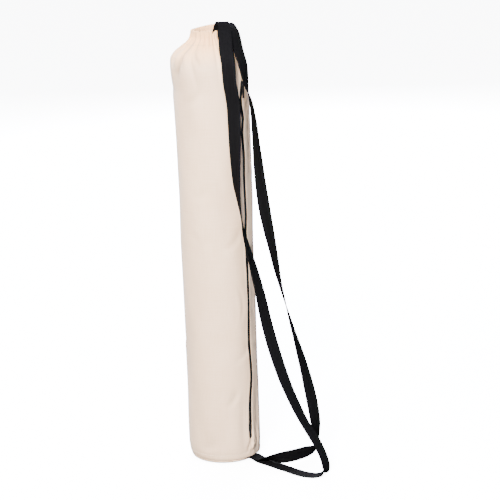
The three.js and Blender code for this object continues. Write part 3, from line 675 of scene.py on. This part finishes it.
def basePiece():
    # round panel, flat in the middle and turned up to the seam, pressed in where the strap ends enter
    columns = basePanel["columns"]
    angles = np.arange(columns) * 360 / columns
    rim = cloth(angles, np.full(columns, 6.2)) + 0.1
    rows, flat = [], []
    for ring in basePanel["flatRings"]:
        radius = np.full(columns, ring)
        rows.append(place(angles, radius, 0.12 + 0.1 * math.cos(ring * 0.4)))
        flat.append((angles, radius))
    root = bump(angles, strap["rootAngle"], basePanel["slotWide"]) ** 0.5
    pressedIn = basePanel["slotDeep"] * np.minimum(root, 0.92)
    for t in np.linspace(0, 90, basePanel["turnRings"]):
        s, c = math.sin(math.radians(t)), math.cos(math.radians(t))
        radius = bag["footRadius"] + (rim - bag["footRadius"]) * s
        height = (bag["seamHeight"] - 0.15) * (1 - c)
        rows.append(place(angles, radius - pressedIn * smooth(height, 0.9, 2.2), np.full(columns, height)))
        flat.append((angles, radius + height))
    rows.append(place(angles, rim - 0.8 - pressedIn, np.full(columns, bag["seamHeight"] + 0.02)))
    flat.append((angles, rim + 8))
    points = np.concatenate([np.array(rows).reshape(-1, 3), [[0, 0, 0.2]]])
    uvs = [np.stack([r * np.cos(radians(a)), r * np.sin(radians(a))], axis=-1) for a, r in flat]
    uvs = np.concatenate(uvs + [[[0, 0]]])
    faces = [tuple(reversed(f)) for f in gridFaces(len(rows), columns, isClosed=True)]
    centre = len(points) - 1
    faces += [(centre, (j + 1) % columns, j) for j in range(columns)]
    piece = meshFrom("canvasBase", points, faces, uvs)
    fixNormals(piece)
    outwards(piece)
    applyModifier(piece, "SOLIDIFY", thickness=bag["cloth"] * mm, offset=-1)
    piece.data.materials.append(canvas)
    return piece


def outwards(piece):  # turns an open sheet so that its faces point away from the bag's middle
    middle = Vector((0, 0, 0.34))
    mesh = piece.data
    facing = sum((f.center - middle).dot(f.normal) * f.area for f in mesh.polygons)
    if facing < 0:
        mesh.flip_normals()


casing = {
    "gapFrom": -24.5,  # it is open between these angles, where the strap comes out
    "gapTo": 48.5,
    "columns": 300,
    "rows": (667.1, 667.4, 668.2, 669.2, 670.4, 672, 674, 676, 678, 680, 682, 684, 685.8),
    "rimTurns": (18, 42, 66, 90, 114, 138, 162),  # degrees over the rolled rim
    "liningRows": (686.2, 684, 681.5, 679, 676.5, 674, 671.5, 669, 667, 665.2),
    "cloth": 0.8,
    "swell": 1.1,  # the cloth between two gathers stands out
    "strapRoom": 28.3,  # least outside radius, clear of the strap's ring
    "rimBase": 686.2,
    "rimRise": 2.7,
    "pushed": 0.8,  # the strap lifts the cloth where it comes out
}


def casingPiece():
    # gathered casing: up the outside, over the rim and down the inside as the lining
    columns = casing["columns"]
    angles = casing["gapTo"] + np.arange(columns) * 360 / columns
    turned = (angles - casing["gapTo"]) % 360
    outerSpan = 360 - (casing["gapTo"] - casing["gapFrom"])
    pull = np.zeros(columns)
    for at, wide, deep, run, lean in creases:
        pull += deep * pinch(angles, at, wide * 0.8)
    pull = np.clip(pull, 0, 1.15)
    ends = 1 - smooth(turned, 0, 4.5) * (1 - smooth(turned, outerSpan - 4.5, outerSpan))
    a = radians(angles)
    ripple = 0.35 * np.sin(31 * a + 2 * np.sin(2 * a)) + 0.25 * np.sin(47 * a + 1.3)
    rows, flat, paintedShadeRows = [], [], []
    pushed = casing["pushed"] * bump(angles, casing["gapFrom"], 8)
    for h in casing["rows"]:
        swell = math.sin(math.pi * min(1, max(0, (h - 669) / 17)))
        radius = skin(angles, h) + pleated(angles, h) - bag["cloth"]
        radius = radius + casing["swell"] * swell * (1 - pull) + ripple * swell
        if h < 669.5:
            radius = radius - 0.35 * smooth(h, 668.0, 669.2) - (0.6 if h < 667.3 else 0)
        radius = np.maximum(radius - 1.2 * ends, casing["strapRoom"])
        rows.append(place(angles, radius, liftedHeight(angles, h)))
        flat.append(h)
        # painted shade in the gathers and in the groove of the casing's foot seam
        paintedShadeRows.append(paintedFoldShadeShare(angles, h) * 1.2 + 0.22 * line(h, 667.2, 1.0))
    outer = skin(angles, 687) + 0.6 * pleated(angles, 687) - 0.6 + 0.3 * ripple - 1.2 * ends
    outer = np.maximum(outer, casing["strapRoom"] - 0.3)
    inner = 24.9 - 1.1 * (1 - pull) - 0.3 * ripple
    for t in casing["rimTurns"]:
        c, s = math.cos(math.radians(t)), math.sin(math.radians(t))
        radius = (outer + inner) / 2 + (outer - inner) / 2 * c
        top = casing["rimBase"] + (casing["rimRise"] - 1.5 * pull + 0.6 * ripple) * s + pushed
        rows.append(place(angles, radius, top + lift(angles)))
        # painted shade between the gathers over the rim
        paintedShadeRows.append(0.45 * np.clip(pull, 0, 1) * (1 - 0.4 * s))
        flat.append(687 + t * 0.06)
    outerRows = len(rows)
    for k, h in enumerate(casing["liningRows"]):
        wave = 0.5 * math.sin(k * 0.7)
        radius = inner + 0.05 * k + 0.25 * wave * ripple
        rows.append(place(angles, radius, h - 0.6 + lift(angles)))
        flat.append(700 + k * 2.4)
        # painted shade, darker the deeper the lining goes inside the neck
        paintedShadeRows.append(0.1 + 0.04 * k + 0.2 * np.clip(pull, 0, 1))
    points = np.array(rows)
    shape = (len(rows), columns)

    def keep(i, j):  # the outer wall is left out in the strap's gap
        return i >= outerRows - 1 or (j + 1) * 360 / columns <= outerSpan

    faces = gridFaces(len(rows), columns, isClosed=True, keep=keep)
    across = np.broadcast_to(turned * aroundDegree, shape)
    up = np.broadcast_to(np.array(flat)[:, None], shape)
    uvs = np.stack([across, up], axis=-1).reshape(-1, 2)
    piece = meshFrom("canvasCasing", points.reshape(-1, 3), faces, uvs, np.array(paintedShadeRows))
    select(piece)
    bpy.ops.object.mode_set(mode="EDIT")
    bpy.ops.mesh.select_all(action="SELECT")
    bpy.ops.mesh.delete_loose()
    bpy.ops.object.mode_set(mode="OBJECT")
    applyModifier(piece, "SOLIDIFY", thickness=casing["cloth"] * mm, offset=-1)
    applyModifier(piece, "SUBSURF", levels=1, render_levels=1)
    piece.data.materials.append(canvas)
    return piece


strap = {
    "width": 21,
    "thick": 1.5,
    "ringRadius": 26.45,  # of its middle, inside the casing
    "onBody": 58.55,  # of its middle, where it lies on the bag's side
    "reach": 137,
    "rootAngle": 5,
    "rootDepth": 5,
    "clear": 0.3,
    "step": 2.4,  # between two rows of points along it
    "ease": 1.8,  # mm over which its bends are rounded
    "selvedge": 0.55,  # radius of its two edges
    "dish": 0.06,  # its faces are thinner in the middle, a share
    "ringRows": 18,
    "hold": (20, 80),  # mm from each end over which cupping and ripples begin
}
# angle, share of the way out from the ring to the bag's side, rise in strap widths above the
# casing's middle, turn and tip of its width
leftHump = [
    (-44, 0, -0.04, 180, 90), (-38, 0, -0.07, 180, 90), (-32, 0, -0.08, 180, 90),
    (-25, 0, -0.05, 180, 88), (-20, 0.01, 0.3, 180, 62), (-16, 0.035, 0.7, 180, 30),
    (-13.2, 0.08, 1.02, 180, 8), (-12.2, 0.18, 1.16, 180, 0),
    (-13.4, 0.32, 0.99, 184, 0), (-15.8, 0.46, 0.55, 190, 0), (-20, 0.63, 0, 198, 0),
    (-23.5, 0.84, -0.8, 206, 0),
]
rightHump = [
    (45, 0, 0.315, 0, 90), (39, 0, 0.32, 0, 90), (31, 0.03, 0.4, 0, 72), (22, 0.11, 0.58, 2, 38),
    (14, 0.21, 0.66, 6, 12), (9.5, 0.33, 0.7, 9, 0), (6.5, 0.47, 0.6, 12, 0), (5, 0.6, 0.32, 12, 0),
    (4, 0.73, -0.3, 12, 0), (3, 0.87, -0.98, 10, 0),
]
# height share, angle, share of the reach out from the bag's side, and turn of its width
leftStrand = [
    (0.93, -25.5, 0.035, 212), (0.885, -25, 0.055, 214), (0.84, -21, 0.055, 216), (0.79, -21, 0.06, 230),
    (0.73, -22, 0.075, 246), (0.66, -22, 0.085, 270), (0.6, -18, 0.08, 296), (0.55, -14, 0.085, 314),
    (0.49, -9, 0.14, 336), (0.42, -5, 0.21, 358), (0.34, -2.5, 0.29, 374), (0.27, -1, 0.39, 378),
    (0.2, 1, 0.51, 370), (0.12, 4, 0.69, 360), (0.065, 5, 0.87, 360), (0.033, 4.8, 0.955, 360),
    (0.014, 4, 0.985, 360),
]
rightStrand = [
    (0.925, 2.4, 0.022, 3), (0.885, 5.4, 0.04, -11), (0.845, 12, 0.055, -40), (0.8, 15.5, 0.075, -44),
    (0.735, 17, 0.095, -57), (0.66, 18.5, 0.12, -75), (0.59, 20, 0.16, -84), (0.5, 20.5, 0.24, -58),
    (0.44, 21, 0.29, -40), (0.36, 22.5, 0.38, -17), (0.29, 24, 0.465, 2), (0.22, 24, 0.56, 24),
    (0.14, 24, 0.645, 44), (0.09, 24, 0.68, 34), (0.055, 25.5, 0.69, 12),
]
# layers of strap below it, angle, share of the reach, turn and tip of its width
leftFloor = [
    (1, 2.5, 0.975, 360, 0), (0, -0.5, 0.93, 360, 0), (0, -2.8, 0.8, 360, 0), (0, -2.2, 0.5, 360, 0),
    (0, -0.8, 0.28, 360, 0), (0, 0.5, 0.12, 360, 0),
]
rightFloor = [
    (7, 26, 0.675, -6, -24), (3, 24, 0.65, -6, -46), (1.2, 19, 0.575, 0, -76), (1.2, 10, 0.485, 0, -84),
    (1.3, 1.5, 0.39, 0, -72), (1.4, -1.5, 0.27, 0, -36), (1, 0.8, 0.12, 0, -4),
]


def widthWay(angle, turn, tip):
    flat = place(angle + 90 - turn, math.cos(math.radians(tip)), 0.0)
    flat[..., 2] = math.sin(math.radians(tip))
    return flat


def strapStations():
    def hump(at, out, rise, turn, tip):
        radius = strap["ringRadius"] + (strap["onBody"] - strap["ringRadius"]) * out
        return place(at, radius, casingMiddle + rise * strap["width"]), widthWay(at, turn, tip)

    def strand(high, at, off, turn):
        return place(at, strap["onBody"] + off * strap["reach"], high * rimHeight), widthWay(at, turn, 0)

    def floor(over, at, off, turn, tip):
        half = abs(math.sin(math.radians(tip))) * strap["width"] / 2 + strap["thick"] / 2
        height = strap["clear"] + half + over * (strap["thick"] + strap["clear"])
        return place(at, strap["onBody"] + off * strap["reach"], height), widthWay(at, turn, tip)

    at = strap["rootAngle"]
    edge = float(skin(at, bag["seamHeight"]))
    high = bag["seamHeight"] - strap["clear"] - strap["thick"] / 2
    low = high - strap["thick"] - strap["clear"]
    inside, outside = edge - strap["rootDepth"], edge + 2
    ring = []
    start, end = leftHump[0][0], rightHump[0][0] - 360
    for i in range(1, strap["ringRows"]):
        angle = start + (end - start) * i / strap["ringRows"]
        middle = place(angle, strap["ringRadius"], casingMiddle + float(lift(angle)))
        ring.append((middle, np.array([0.0, 0, 1])))
    rows = [(place(at, radius, low), widthWay(at, 360, 0)) for radius in (inside, outside)]
    rows += [floor(*row) for row in reversed(leftFloor)] + [strand(*row) for row in reversed(leftStrand)]
    rows += [hump(*row) for row in reversed(leftHump)] + ring + [hump(*row) for row in rightHump]
    rows += [strand(*row) for row in rightStrand] + [floor(*row) for row in rightFloor]
    rows += [(place(at, radius, high), widthWay(at, 0, 0)) for radius in (outside, inside)]
    return np.array([row[0] for row in rows]), np.array([row[1] for row in rows])


def throughPoints(points, share):  # centripetal Catmull-Rom, as the part's own path
    p = np.concatenate([[2 * points[0] - points[1]], points, [2 * points[-1] - points[-2]]])
    last = len(points) - 1
    i = np.minimum(np.floor(share * last).astype(int), last - 1)
    t = (share * last - i)[:, None]
    p0, p1, p2, p3 = p[i], p[i + 1], p[i + 2], p[i + 3]
    d0 = np.maximum(np.linalg.norm(p1 - p0, axis=1), 1e-4)[:, None] ** 0.5
    d1 = np.maximum(np.linalg.norm(p2 - p1, axis=1), 1e-4)[:, None] ** 0.5
    d2 = np.maximum(np.linalg.norm(p3 - p2, axis=1), 1e-4)[:, None] ** 0.5
    m1 = ((p1 - p0) / d0 - (p2 - p0) / (d0 + d1) + (p2 - p1) / d1) * d1
    m2 = ((p2 - p1) / d1 - (p3 - p1) / (d1 + d2) + (p3 - p2) / d2) * d1
    return (
        (2 * t ** 3 - 3 * t ** 2 + 1) * p1 + (t ** 3 - 2 * t ** 2 + t) * m1
        + (3 * t ** 2 - 2 * t ** 3) * p2 + (t ** 3 - t ** 2) * m2
    )


def eased(rows, sigma):  # rounds a row of points or directions along the strap, ends kept
    reach = int(3 * sigma / strap["step"])
    weights = np.exp(-0.5 * (np.arange(-reach, reach + 1) * strap["step"] / sigma) ** 2)
    weights /= weights.sum()
    before, after = 2 * rows[0] - rows[reach:0:-1], 2 * rows[-1] - rows[-2:-reach - 2:-1]
    padded = np.concatenate([before, rows, after])
    smoothed = [np.convolve(column, weights, mode="valid") for column in padded.T]
    return np.stack(smoothed, axis=1)


def strapSection():  # rounded selvedges, and faces a little dished between them
    half, thick, edge = strap["width"] / 2, strap["thick"] / 2, strap["selvedge"]
    dish = strap["dish"]
    face = [(x * (half - edge), thick * (1 - dish + dish * abs(x))) for x in np.linspace(1, -1, 13)]
    arc = [(half - edge + edge * math.sin(t), thick * math.cos(t)) for t in radians([35, 90, 145])]
    left = [(-w, f) for w, f in arc]
    right = [(w, f) for w, f in reversed(arc)]
    return np.array(face + left + [(-w, -f) for w, f in face] + right)


def strapPiece():
    points, widths = strapStations()
    fine = np.linspace(0, 1, 60 * (len(points) - 1) + 1)
    path = throughPoints(points, fine)
    length = np.concatenate([[0], np.cumsum(np.linalg.norm(np.diff(path, axis=0), axis=1))])
    count = int(length[-1] / strap["step"])
    at = np.linspace(0, length[-1], count + 1)
    share = np.interp(at, length, fine)
    path = throughPoints(points, share)
    i = np.minimum(np.floor(share * (len(points) - 1)).astype(int), len(points) - 2)
    t = (share * (len(points) - 1) - i)[:, None]
    across = widths[i] * (1 - t) + widths[i + 1] * t
    path, across = eased(path, strap["ease"]), eased(across, strap["ease"] * 2.4)
    along = np.gradient(path, axis=0)
    along /= np.linalg.norm(along, axis=1)[:, None]
    across -= along * np.sum(across * along, axis=1)[:, None]
    across /= np.linalg.norm(across, axis=1)[:, None]
    face = np.cross(along, across)
    half = strap["width"] / 2
    section = strapSection()
    # webbing is never quite even, it cups slightly and its edges ripple softly
    cup = 0.25 * np.sin(at * 0.021 + 0.6) + 0.2 * np.sin(at * 0.047 + 2.1)
    hold = smooth(at, *strap["hold"]) * smooth(at[-1] - at, *strap["hold"])
    rows = []
    for w, f in section:
        bend = (cup * ((w / half) ** 2 - 0.4) * 1.2 + 0.16 * (w / half) * np.sin(at * 0.11 + 1)) * hold
        rows.append(path + across * w + face * (f + bend)[:, None])
    print("strap length in metres:", round(float(length[-1]) * mm, 3))
    rows = np.stack(rows, axis=1)
    low = rows[:, :, 2].min(axis=1)
    rows[:, :, 2] += np.maximum(0, strap["clear"] - low)[:, None]
    columns = len(section)
    around = np.concatenate([[0], np.cumsum(np.linalg.norm(np.diff(section, axis=0), axis=1))])
    shape = (len(at), columns)
    uvs = np.stack([np.broadcast_to(around, shape), np.broadcast_to(at[:, None], shape)], axis=-1)
    faces = gridFaces(len(at), columns, isClosed=True)
    faces.append(tuple(range(columns)))
    faces.append(tuple(reversed([(len(at) - 1) * columns + j for j in range(columns)])))
    piece = meshFrom("webbingStrap", rows.reshape(-1, 3), faces, uvs.reshape(-1, 2))
    fixNormals(piece)
    piece.data.materials.append(webbing)
    return piece


def fixNormals(piece):
    select(piece)
    bpy.ops.object.mode_set(mode="EDIT")
    bpy.ops.mesh.select_all(action="SELECT")
    bpy.ops.mesh.normals_make_consistent(inside=False)
    bpy.ops.object.mode_set(mode="OBJECT")


zipTape = {
    "columns": (1, 2.1, 2.7, 3.3, 3.9, 5, 7, 9, 11),  # from its middle to its edge
    "rows": 200,
    "past": 5.5,  # its ends, past the slit's
    "depth": 2.15,  # behind the cloth's face
    "risen": 1.7,  # it rises into the slit
    "risenEdge": (2.6, 3.8),
    "thick": 0.7,
}


def tapePiece():
    past = zipTape["past"]
    heights = np.linspace(sideZip["bottom"] - past, sideZip["top"] + past, zipTape["rows"])
    half = np.array(zipTape["columns"], float)
    offsets = np.concatenate([-half[::-1], [0], half])
    grid, across = np.meshgrid(heights, offsets, indexing="ij")
    angles = zipAngle(grid) + np.degrees(across / bag["bodyRadius"])
    risen = zipTape["risen"] * (1 - smooth(np.abs(across), *zipTape["risenEdge"])) * openShare(grid)
    radius = skin(angles, grid) + wrinkled(angles, grid) - zipTape["depth"] + risen
    points = place(angles, radius, grid)
    uvs = np.stack([across, grid], axis=-1).reshape(-1, 2)
    rows, columns = grid.shape
    piece = meshFrom("zipTape", points.reshape(-1, 3), gridFaces(rows, columns), uvs)
    outwards(piece)
    applyModifier(piece, "SOLIDIFY", thickness=zipTape["thick"] * mm, offset=-1)
    piece.data.materials.append(tapeCloth)
    return piece


def zipPoint(height, offset, depth):
    angle = zipAngle(height) + np.degrees(offset / bag["bodyRadius"])
    return place(angle, skin(angle, height) + wrinkled(angle, height) - depth, height)


def ringAlong(points, radius, sides):  # a thin round thread through a row of points
    points = np.asarray(points, float)
    along = np.gradient(points, axis=0)
    along /= np.linalg.norm(along, axis=1)[:, None]
    guide = np.where(np.abs(along[:, 2:3]) < 0.9, [[0, 0, 1.0]], [[1.0, 0, 0]])
    side = np.cross(along, guide)
    side /= np.linalg.norm(side, axis=1)[:, None]
    up = np.cross(side, along)
    turns = (np.arange(sides) * 2 * math.pi / sides)[None, :, None]
    return points[:, None, :] + radius * (np.cos(turns) * side[:, None, :] + np.sin(turns) * up[:, None, :])


coil = {
    "pitch": 1.3,  # from tooth to tooth
    "steps": 8,  # points a turn
    "wire": 0.34,  # radius
    "sides": 5,
    "apart": 1.05,  # from the zip's middle to each helix
    "wide": 1.2,  # half of a helix across
    "proud": 0.3,  # its middle above the cloth's face
    "deep": 0.5,
}


def coilPiece():
    # one helix of nylon for each side of the zip, drawn flat, the two meshed in the middle
    heights = np.arange(sideZip["bottom"] + 0.6, sideZip["top"] - 1, coil["pitch"] / coil["steps"])
    turns = (heights - heights[0]) * 2 * math.pi / coil["pitch"]
    vertices, faces, start = [], [], 0
    for way in (-1, 1):
        offset = way * coil["apart"] + coil["wide"] * np.cos(turns + (math.pi if way > 0 else 0))
        depth = -coil["proud"] - coil["deep"] * np.sin(turns)
        tube = ringAlong(zipPoint(heights, offset, depth), coil["wire"], coil["sides"])
        rows, columns = tube.shape[:2]
        vertices.append(tube.reshape(-1, 3))
        faces += tubeFaces(rows, columns, start)
        start += rows * columns
    piece = meshFrom("zipCoil", np.concatenate(vertices), faces)
    fixNormals(piece)
    piece.data.materials.append(nylon)
    return piece


slider = {
    "width": 6.4,
    "height": 10.5,
    "pullLong": 22,
    "pullWide": 3.6,
    "pullThick": 1.1,
    "pullOut": 1.35,  # from the plate's back to the pull's middle
    "pullTop": 1.6,
    "drop": 0.5,  # below the slit's upper end
    "proud": 0.55,  # above the cloth's face
}
# size, centre, bevel and its segments
sliderBody = [
    ((1.0, slider["width"], slider["height"]), (0.5, 0, 0), 0.42, 3),
    ((1.5, 1.5, 1.5), (1.3, 0, 3.2), 0.3, 2),
    ((1.5, 1.5, 1.5), (1.3, 0, -2.2), 0.3, 2),
    ((0.8, 1.5, 6.9), (2.1, 0, 0.5), 0.34, 3),
]
# below the pull's top, width and height of its two holes
pullHoles = [(2.6, 2.0, 3.2), (slider["pullLong"] - 4.4, 1.7, 3.0)]


def boxPiece(name, size, centre, bevel, segments):
    bpy.ops.object.select_all(action="DESELECT")
    bpy.ops.mesh.primitive_cube_add(size=1)
    piece = bpy.context.object
    piece.name = name
    bpy.ops.object.mode_set(mode="EDIT")
    bpy.ops.mesh.select_all(action="SELECT")
    bpy.ops.transform.resize(value=[v * mm for v in size])
    bpy.ops.mesh.bevel(offset=bevel * mm, segments=segments, affect="EDGES")
    bpy.ops.mesh.select_all(action="SELECT")
    bpy.ops.transform.translate(value=[v * mm for v in centre])
    bpy.ops.object.mode_set(mode="OBJECT")
    bpy.ops.object.shade_smooth()
    return piece


def sliderPiece():
    # made flat, Z up along the zip and X out of the bag, then put in place
    parts = [boxPiece("sliderBox", *row) for row in sliderBody]
    long, out = slider["pullLong"], slider["pullOut"]
    size = (slider["pullThick"], slider["pullWide"], long)
    pull = boxPiece("sliderPull", size, (out, 0, slider["pullTop"] - long / 2), 0.45, 3)
    parts.append(pull)
    for down, across, tall in pullHoles:
        hole = boxPiece("pullHole", (4, across, tall), (out, 0, slider["pullTop"] - down), 0.6, 3)
        select(pull)
        cut = pull.modifiers.new("Hole", "BOOLEAN")
        cut.operation, cut.object, cut.solver = "DIFFERENCE", hole, "EXACT"
        bpy.ops.object.modifier_apply(modifier=cut.name)
        bpy.data.objects.remove(hole)
    bpy.ops.object.select_all(action="DESELECT")
    for part in parts:
        part.select_set(True)
    bpy.context.view_layer.objects.active = parts[0]
    bpy.ops.object.join()
    piece = bpy.context.object
    piece.name = "zipSliderAndPull"
    top = sideZip["top"] - slider["drop"]
    angle = float(zipAngle(top))
    heights = np.linspace(top - 28, top, 9)
    radius = float(np.max(skin(angle, heights) + wrinkled(angle, heights))) + slider["proud"]
    turn = Matrix.Rotation(math.radians(angle), 4, "Z")
    shift = Matrix.Translation(Vector((radius * mm, 0, (top - slider["height"] / 2) * mm)))
    piece.data.transform(turn @ shift)
    piece.data.materials.clear()
    piece.data.materials.append(enamel)
    return piece


stitch = {
    "long": 2.9,
    "gap": 0.7,
    "thick": 0.33,
    "arch": 0.3,  # it stands up between its two ends
    "sink": 0.22,  # and its ends go into the cloth
    "lift": 0.05,
    "sides": 6,
    "rings": 7,
}


def stitchRow(name, points, normals):
    points, normals = np.asarray(points, float), np.asarray(normals, float)
    length = np.concatenate([[0], np.cumsum(np.linalg.norm(np.diff(points, axis=0), axis=1))])
    pitch = stitch["long"] + stitch["gap"]
    count = int(length[-1] / pitch)
    sides, rings = stitch["sides"], stitch["rings"]
    vertices, faces = [], []
    s = np.linspace(0, 1, rings)
    arch = np.sin(s * math.pi)
    rise = (stitch["arch"] * arch ** 0.5 - stitch["sink"])[:, None]
    thick = (stitch["thick"] * (0.72 + 0.28 * arch))[:, None, None]
    turns = (np.arange(sides) * 2 * math.pi / sides)[None, :, None]
    for k in range(count):
        at = (k + 0.15) * pitch + s * stitch["long"]
        middle = np.stack([np.interp(at, length, points[:, c]) for c in range(3)], axis=1)
        up = np.stack([np.interp(at, length, normals[:, c]) for c in range(3)], axis=1)
        up /= np.linalg.norm(up, axis=1)[:, None]
        along = np.gradient(middle, axis=0)
        along /= np.linalg.norm(along, axis=1)[:, None]
        aside = np.cross(along, up)
        ring = np.cos(turns) * aside[:, None, :] * 1.15 + np.sin(turns) * up[:, None, :] * 0.8
        tube = (middle + up * rise)[:, None, :] + thick * ring
        faces += tubeFaces(rings, sides, len(vertices) * sides * rings)
        vertices.append(tube.reshape(-1, 3))
    piece = meshFrom(name, np.concatenate(vertices), faces)
    fixNormals(piece)
    piece.data.materials.append(seamThread)
    return piece


def outwardAt(angle):
    return place(angle, np.ones(np.shape(angle)), np.zeros(np.shape(angle)))


def besideZip(name, offset):
    heights = np.linspace(*sideZip["stitchesRun"], 500)
    angles = zipAngle(heights) + np.degrees(offset / bag["bodyRadius"])
    points = place(angles, cloth(angles, heights) + stitch["lift"], heights)
    return stitchRow(name, points, outwardAt(angles))


def aboveBase(name):
    angles = np.arange(0, 360.5, 1.0)
    points = place(angles, cloth(angles, hem["stitches"]) + stitch["lift"], hem["stitches"])
    return stitchRow(name, points, outwardAt(angles))


print("cloth, strap, zip and stitches are being made")
body = bodyPiece()
base = basePiece()
neck = casingPiece()
strapMesh = strapPiece()
tape = tapePiece()
teeth = coilPiece()
zipSlider = sliderPiece()
print("cloth, strap and zip ready")
leftStitches = besideZip("stitchesLeftOfZip", -sideZip["stitches"])
rightStitches = besideZip("stitchesRightOfZip", sideZip["stitches"])
baseStitches = aboveBase("stitchesAboveBase")
print("stitches ready")

for piece, slot, node in (
    (body, "canvas", "bag_tube"), (base, "canvas", "base_panel"), (neck, "canvas", "bag_tube"),
    (strapMesh, "webbing", "strap"), (tape, "zip_tape", "zip_tape"), (teeth, "zip_coil", "zip_coil"),
    (zipSlider, "zip_slider", "zip_slider"), (leftStitches, "canvas", "bag_tube"),
    (rightStitches, "canvas", "bag_tube"), (baseStitches, "canvas", "bag_tube"),
):
    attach(piece, "root")
    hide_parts(node)


studio = {
    "floor": "#fafafa",
    "reach": 30.0,  # metres of floor
    "glow": 10.0, "glowTint": "#fbfcff",  # the floor is a white sweep with its own light
    "world": 10.4,
    "middle": (0, 0, 0.34),  # of the bag
}
# name, watts, metres across, place to the right, up and back from the bag's middle, tint, and the
# height it points at
lamps = [
    ("keyLight", 432.0, 0.8, (-0.45, 1.3, 2.4), "#fff8f2", 0.36),
    ("fillLight", 58.0, 1.6, (2.2, 0.5, 1.6), "#dbe7ff", 0.34),
    ("topLight", 380.0, 3.0, (-0.5, 3.4, 0.8), "#eef3ff", 0.0),
    ("sideLight", 240.0, 2.0, (-1.6, 1.2, -2.2), "#c6d9ff", 0.34),
    ("backLight", 560.0, 2.0, (0.3, 1.5, -3.2), "#f4f6ff", 0.34),
]


def floorPiece():
    bpy.ops.mesh.primitive_plane_add(size=studio["reach"])
    piece = bpy.context.object
    piece.name = "studioFloor"
    # Matt white paper sweep, even and without grain.
    material, tree, shader = newMaterial(
        "paleFloor", Roughness=0.9, Specular_IOR_Level=0.1, Base_Color=colour(studio["floor"]),
        Emission_Color=colour(studio["glowTint"]), Emission_Strength=studio["glow"],
    )
    piece.data.materials.append(material)
    piece.visible_diffuse = piece.visible_glossy = False  # its glow would flatten the folds
    return piece


floorPiece()


def softLight(name, power, size, at, towards, tint):
    light = bpy.data.lights.new(name, "AREA")
    light.shape, light.size, light.energy = "DISK", size, power
    light.color = colour(tint)[:3]
    lamp = bpy.data.objects.new(name, light)
    bpy.context.collection.objects.link(lamp)
    lamp.location = at
    lamp.rotation_euler = (Vector(towards) - at).to_track_quat("-Z", "Y").to_euler()


shot = {
    "azimuth": 39,  # degrees
    "elevation": 14,
    "roll": 1.897,
    "distance": 2.582,  # metres
    "target": (0.0396, 0.0321, 0.338),
    "lens": 117.5,  # mm
}
azimuth, elevation = math.radians(shot["azimuth"]), math.radians(shot["elevation"])
rightWay = Vector((math.cos(azimuth), math.sin(azimuth), 0))
level = Vector((math.sin(azimuth), -math.cos(azimuth), 0))
backWay = level * math.cos(elevation) + Vector((0, 0, math.sin(elevation)))
upWay = backWay.cross(rightWay)
target = Vector(shot["target"])
roll = math.radians(shot["roll"])
rolledRight = rightWay * math.cos(roll) - upWay * math.sin(roll)
rolledUp = rightWay * math.sin(roll) + upWay * math.cos(roll)
cameraData = bpy.data.cameras.new("photoCamera")
cameraData.lens = shot["lens"]
cameraData.sensor_width = 36
camera = bpy.data.objects.new("photoCamera", cameraData)
bpy.context.collection.objects.link(camera)
spot = target + backWay * shot["distance"]
camera.matrix_world = Matrix((
    (rolledRight.x, rolledUp.x, backWay.x, spot.x), (rolledRight.y, rolledUp.y, backWay.y, spot.y),
    (rolledRight.z, rolledUp.z, backWay.z, spot.z), (0, 0, 0, 1),
))
bpy.context.scene.camera = camera


for name, power, size, (right, up, back), tint, aimed in lamps:
    at = Vector(studio["middle"]) + rightWay * right + Vector((0, 0, up)) + level * back
    softLight(name, power, size, at, (0, 0, aimed), tint)
world = bpy.data.worlds.new("studioSurround")
bpy.context.scene.world = world
world.use_nodes = True
background = world.node_tree.nodes["Background"]
background.inputs["Color"].default_value = colour(studio["glowTint"])
background.inputs["Strength"].default_value = studio["world"]
world.cycles_visibility.diffuse = world.cycles_visibility.glossy = False
print("stage ready")
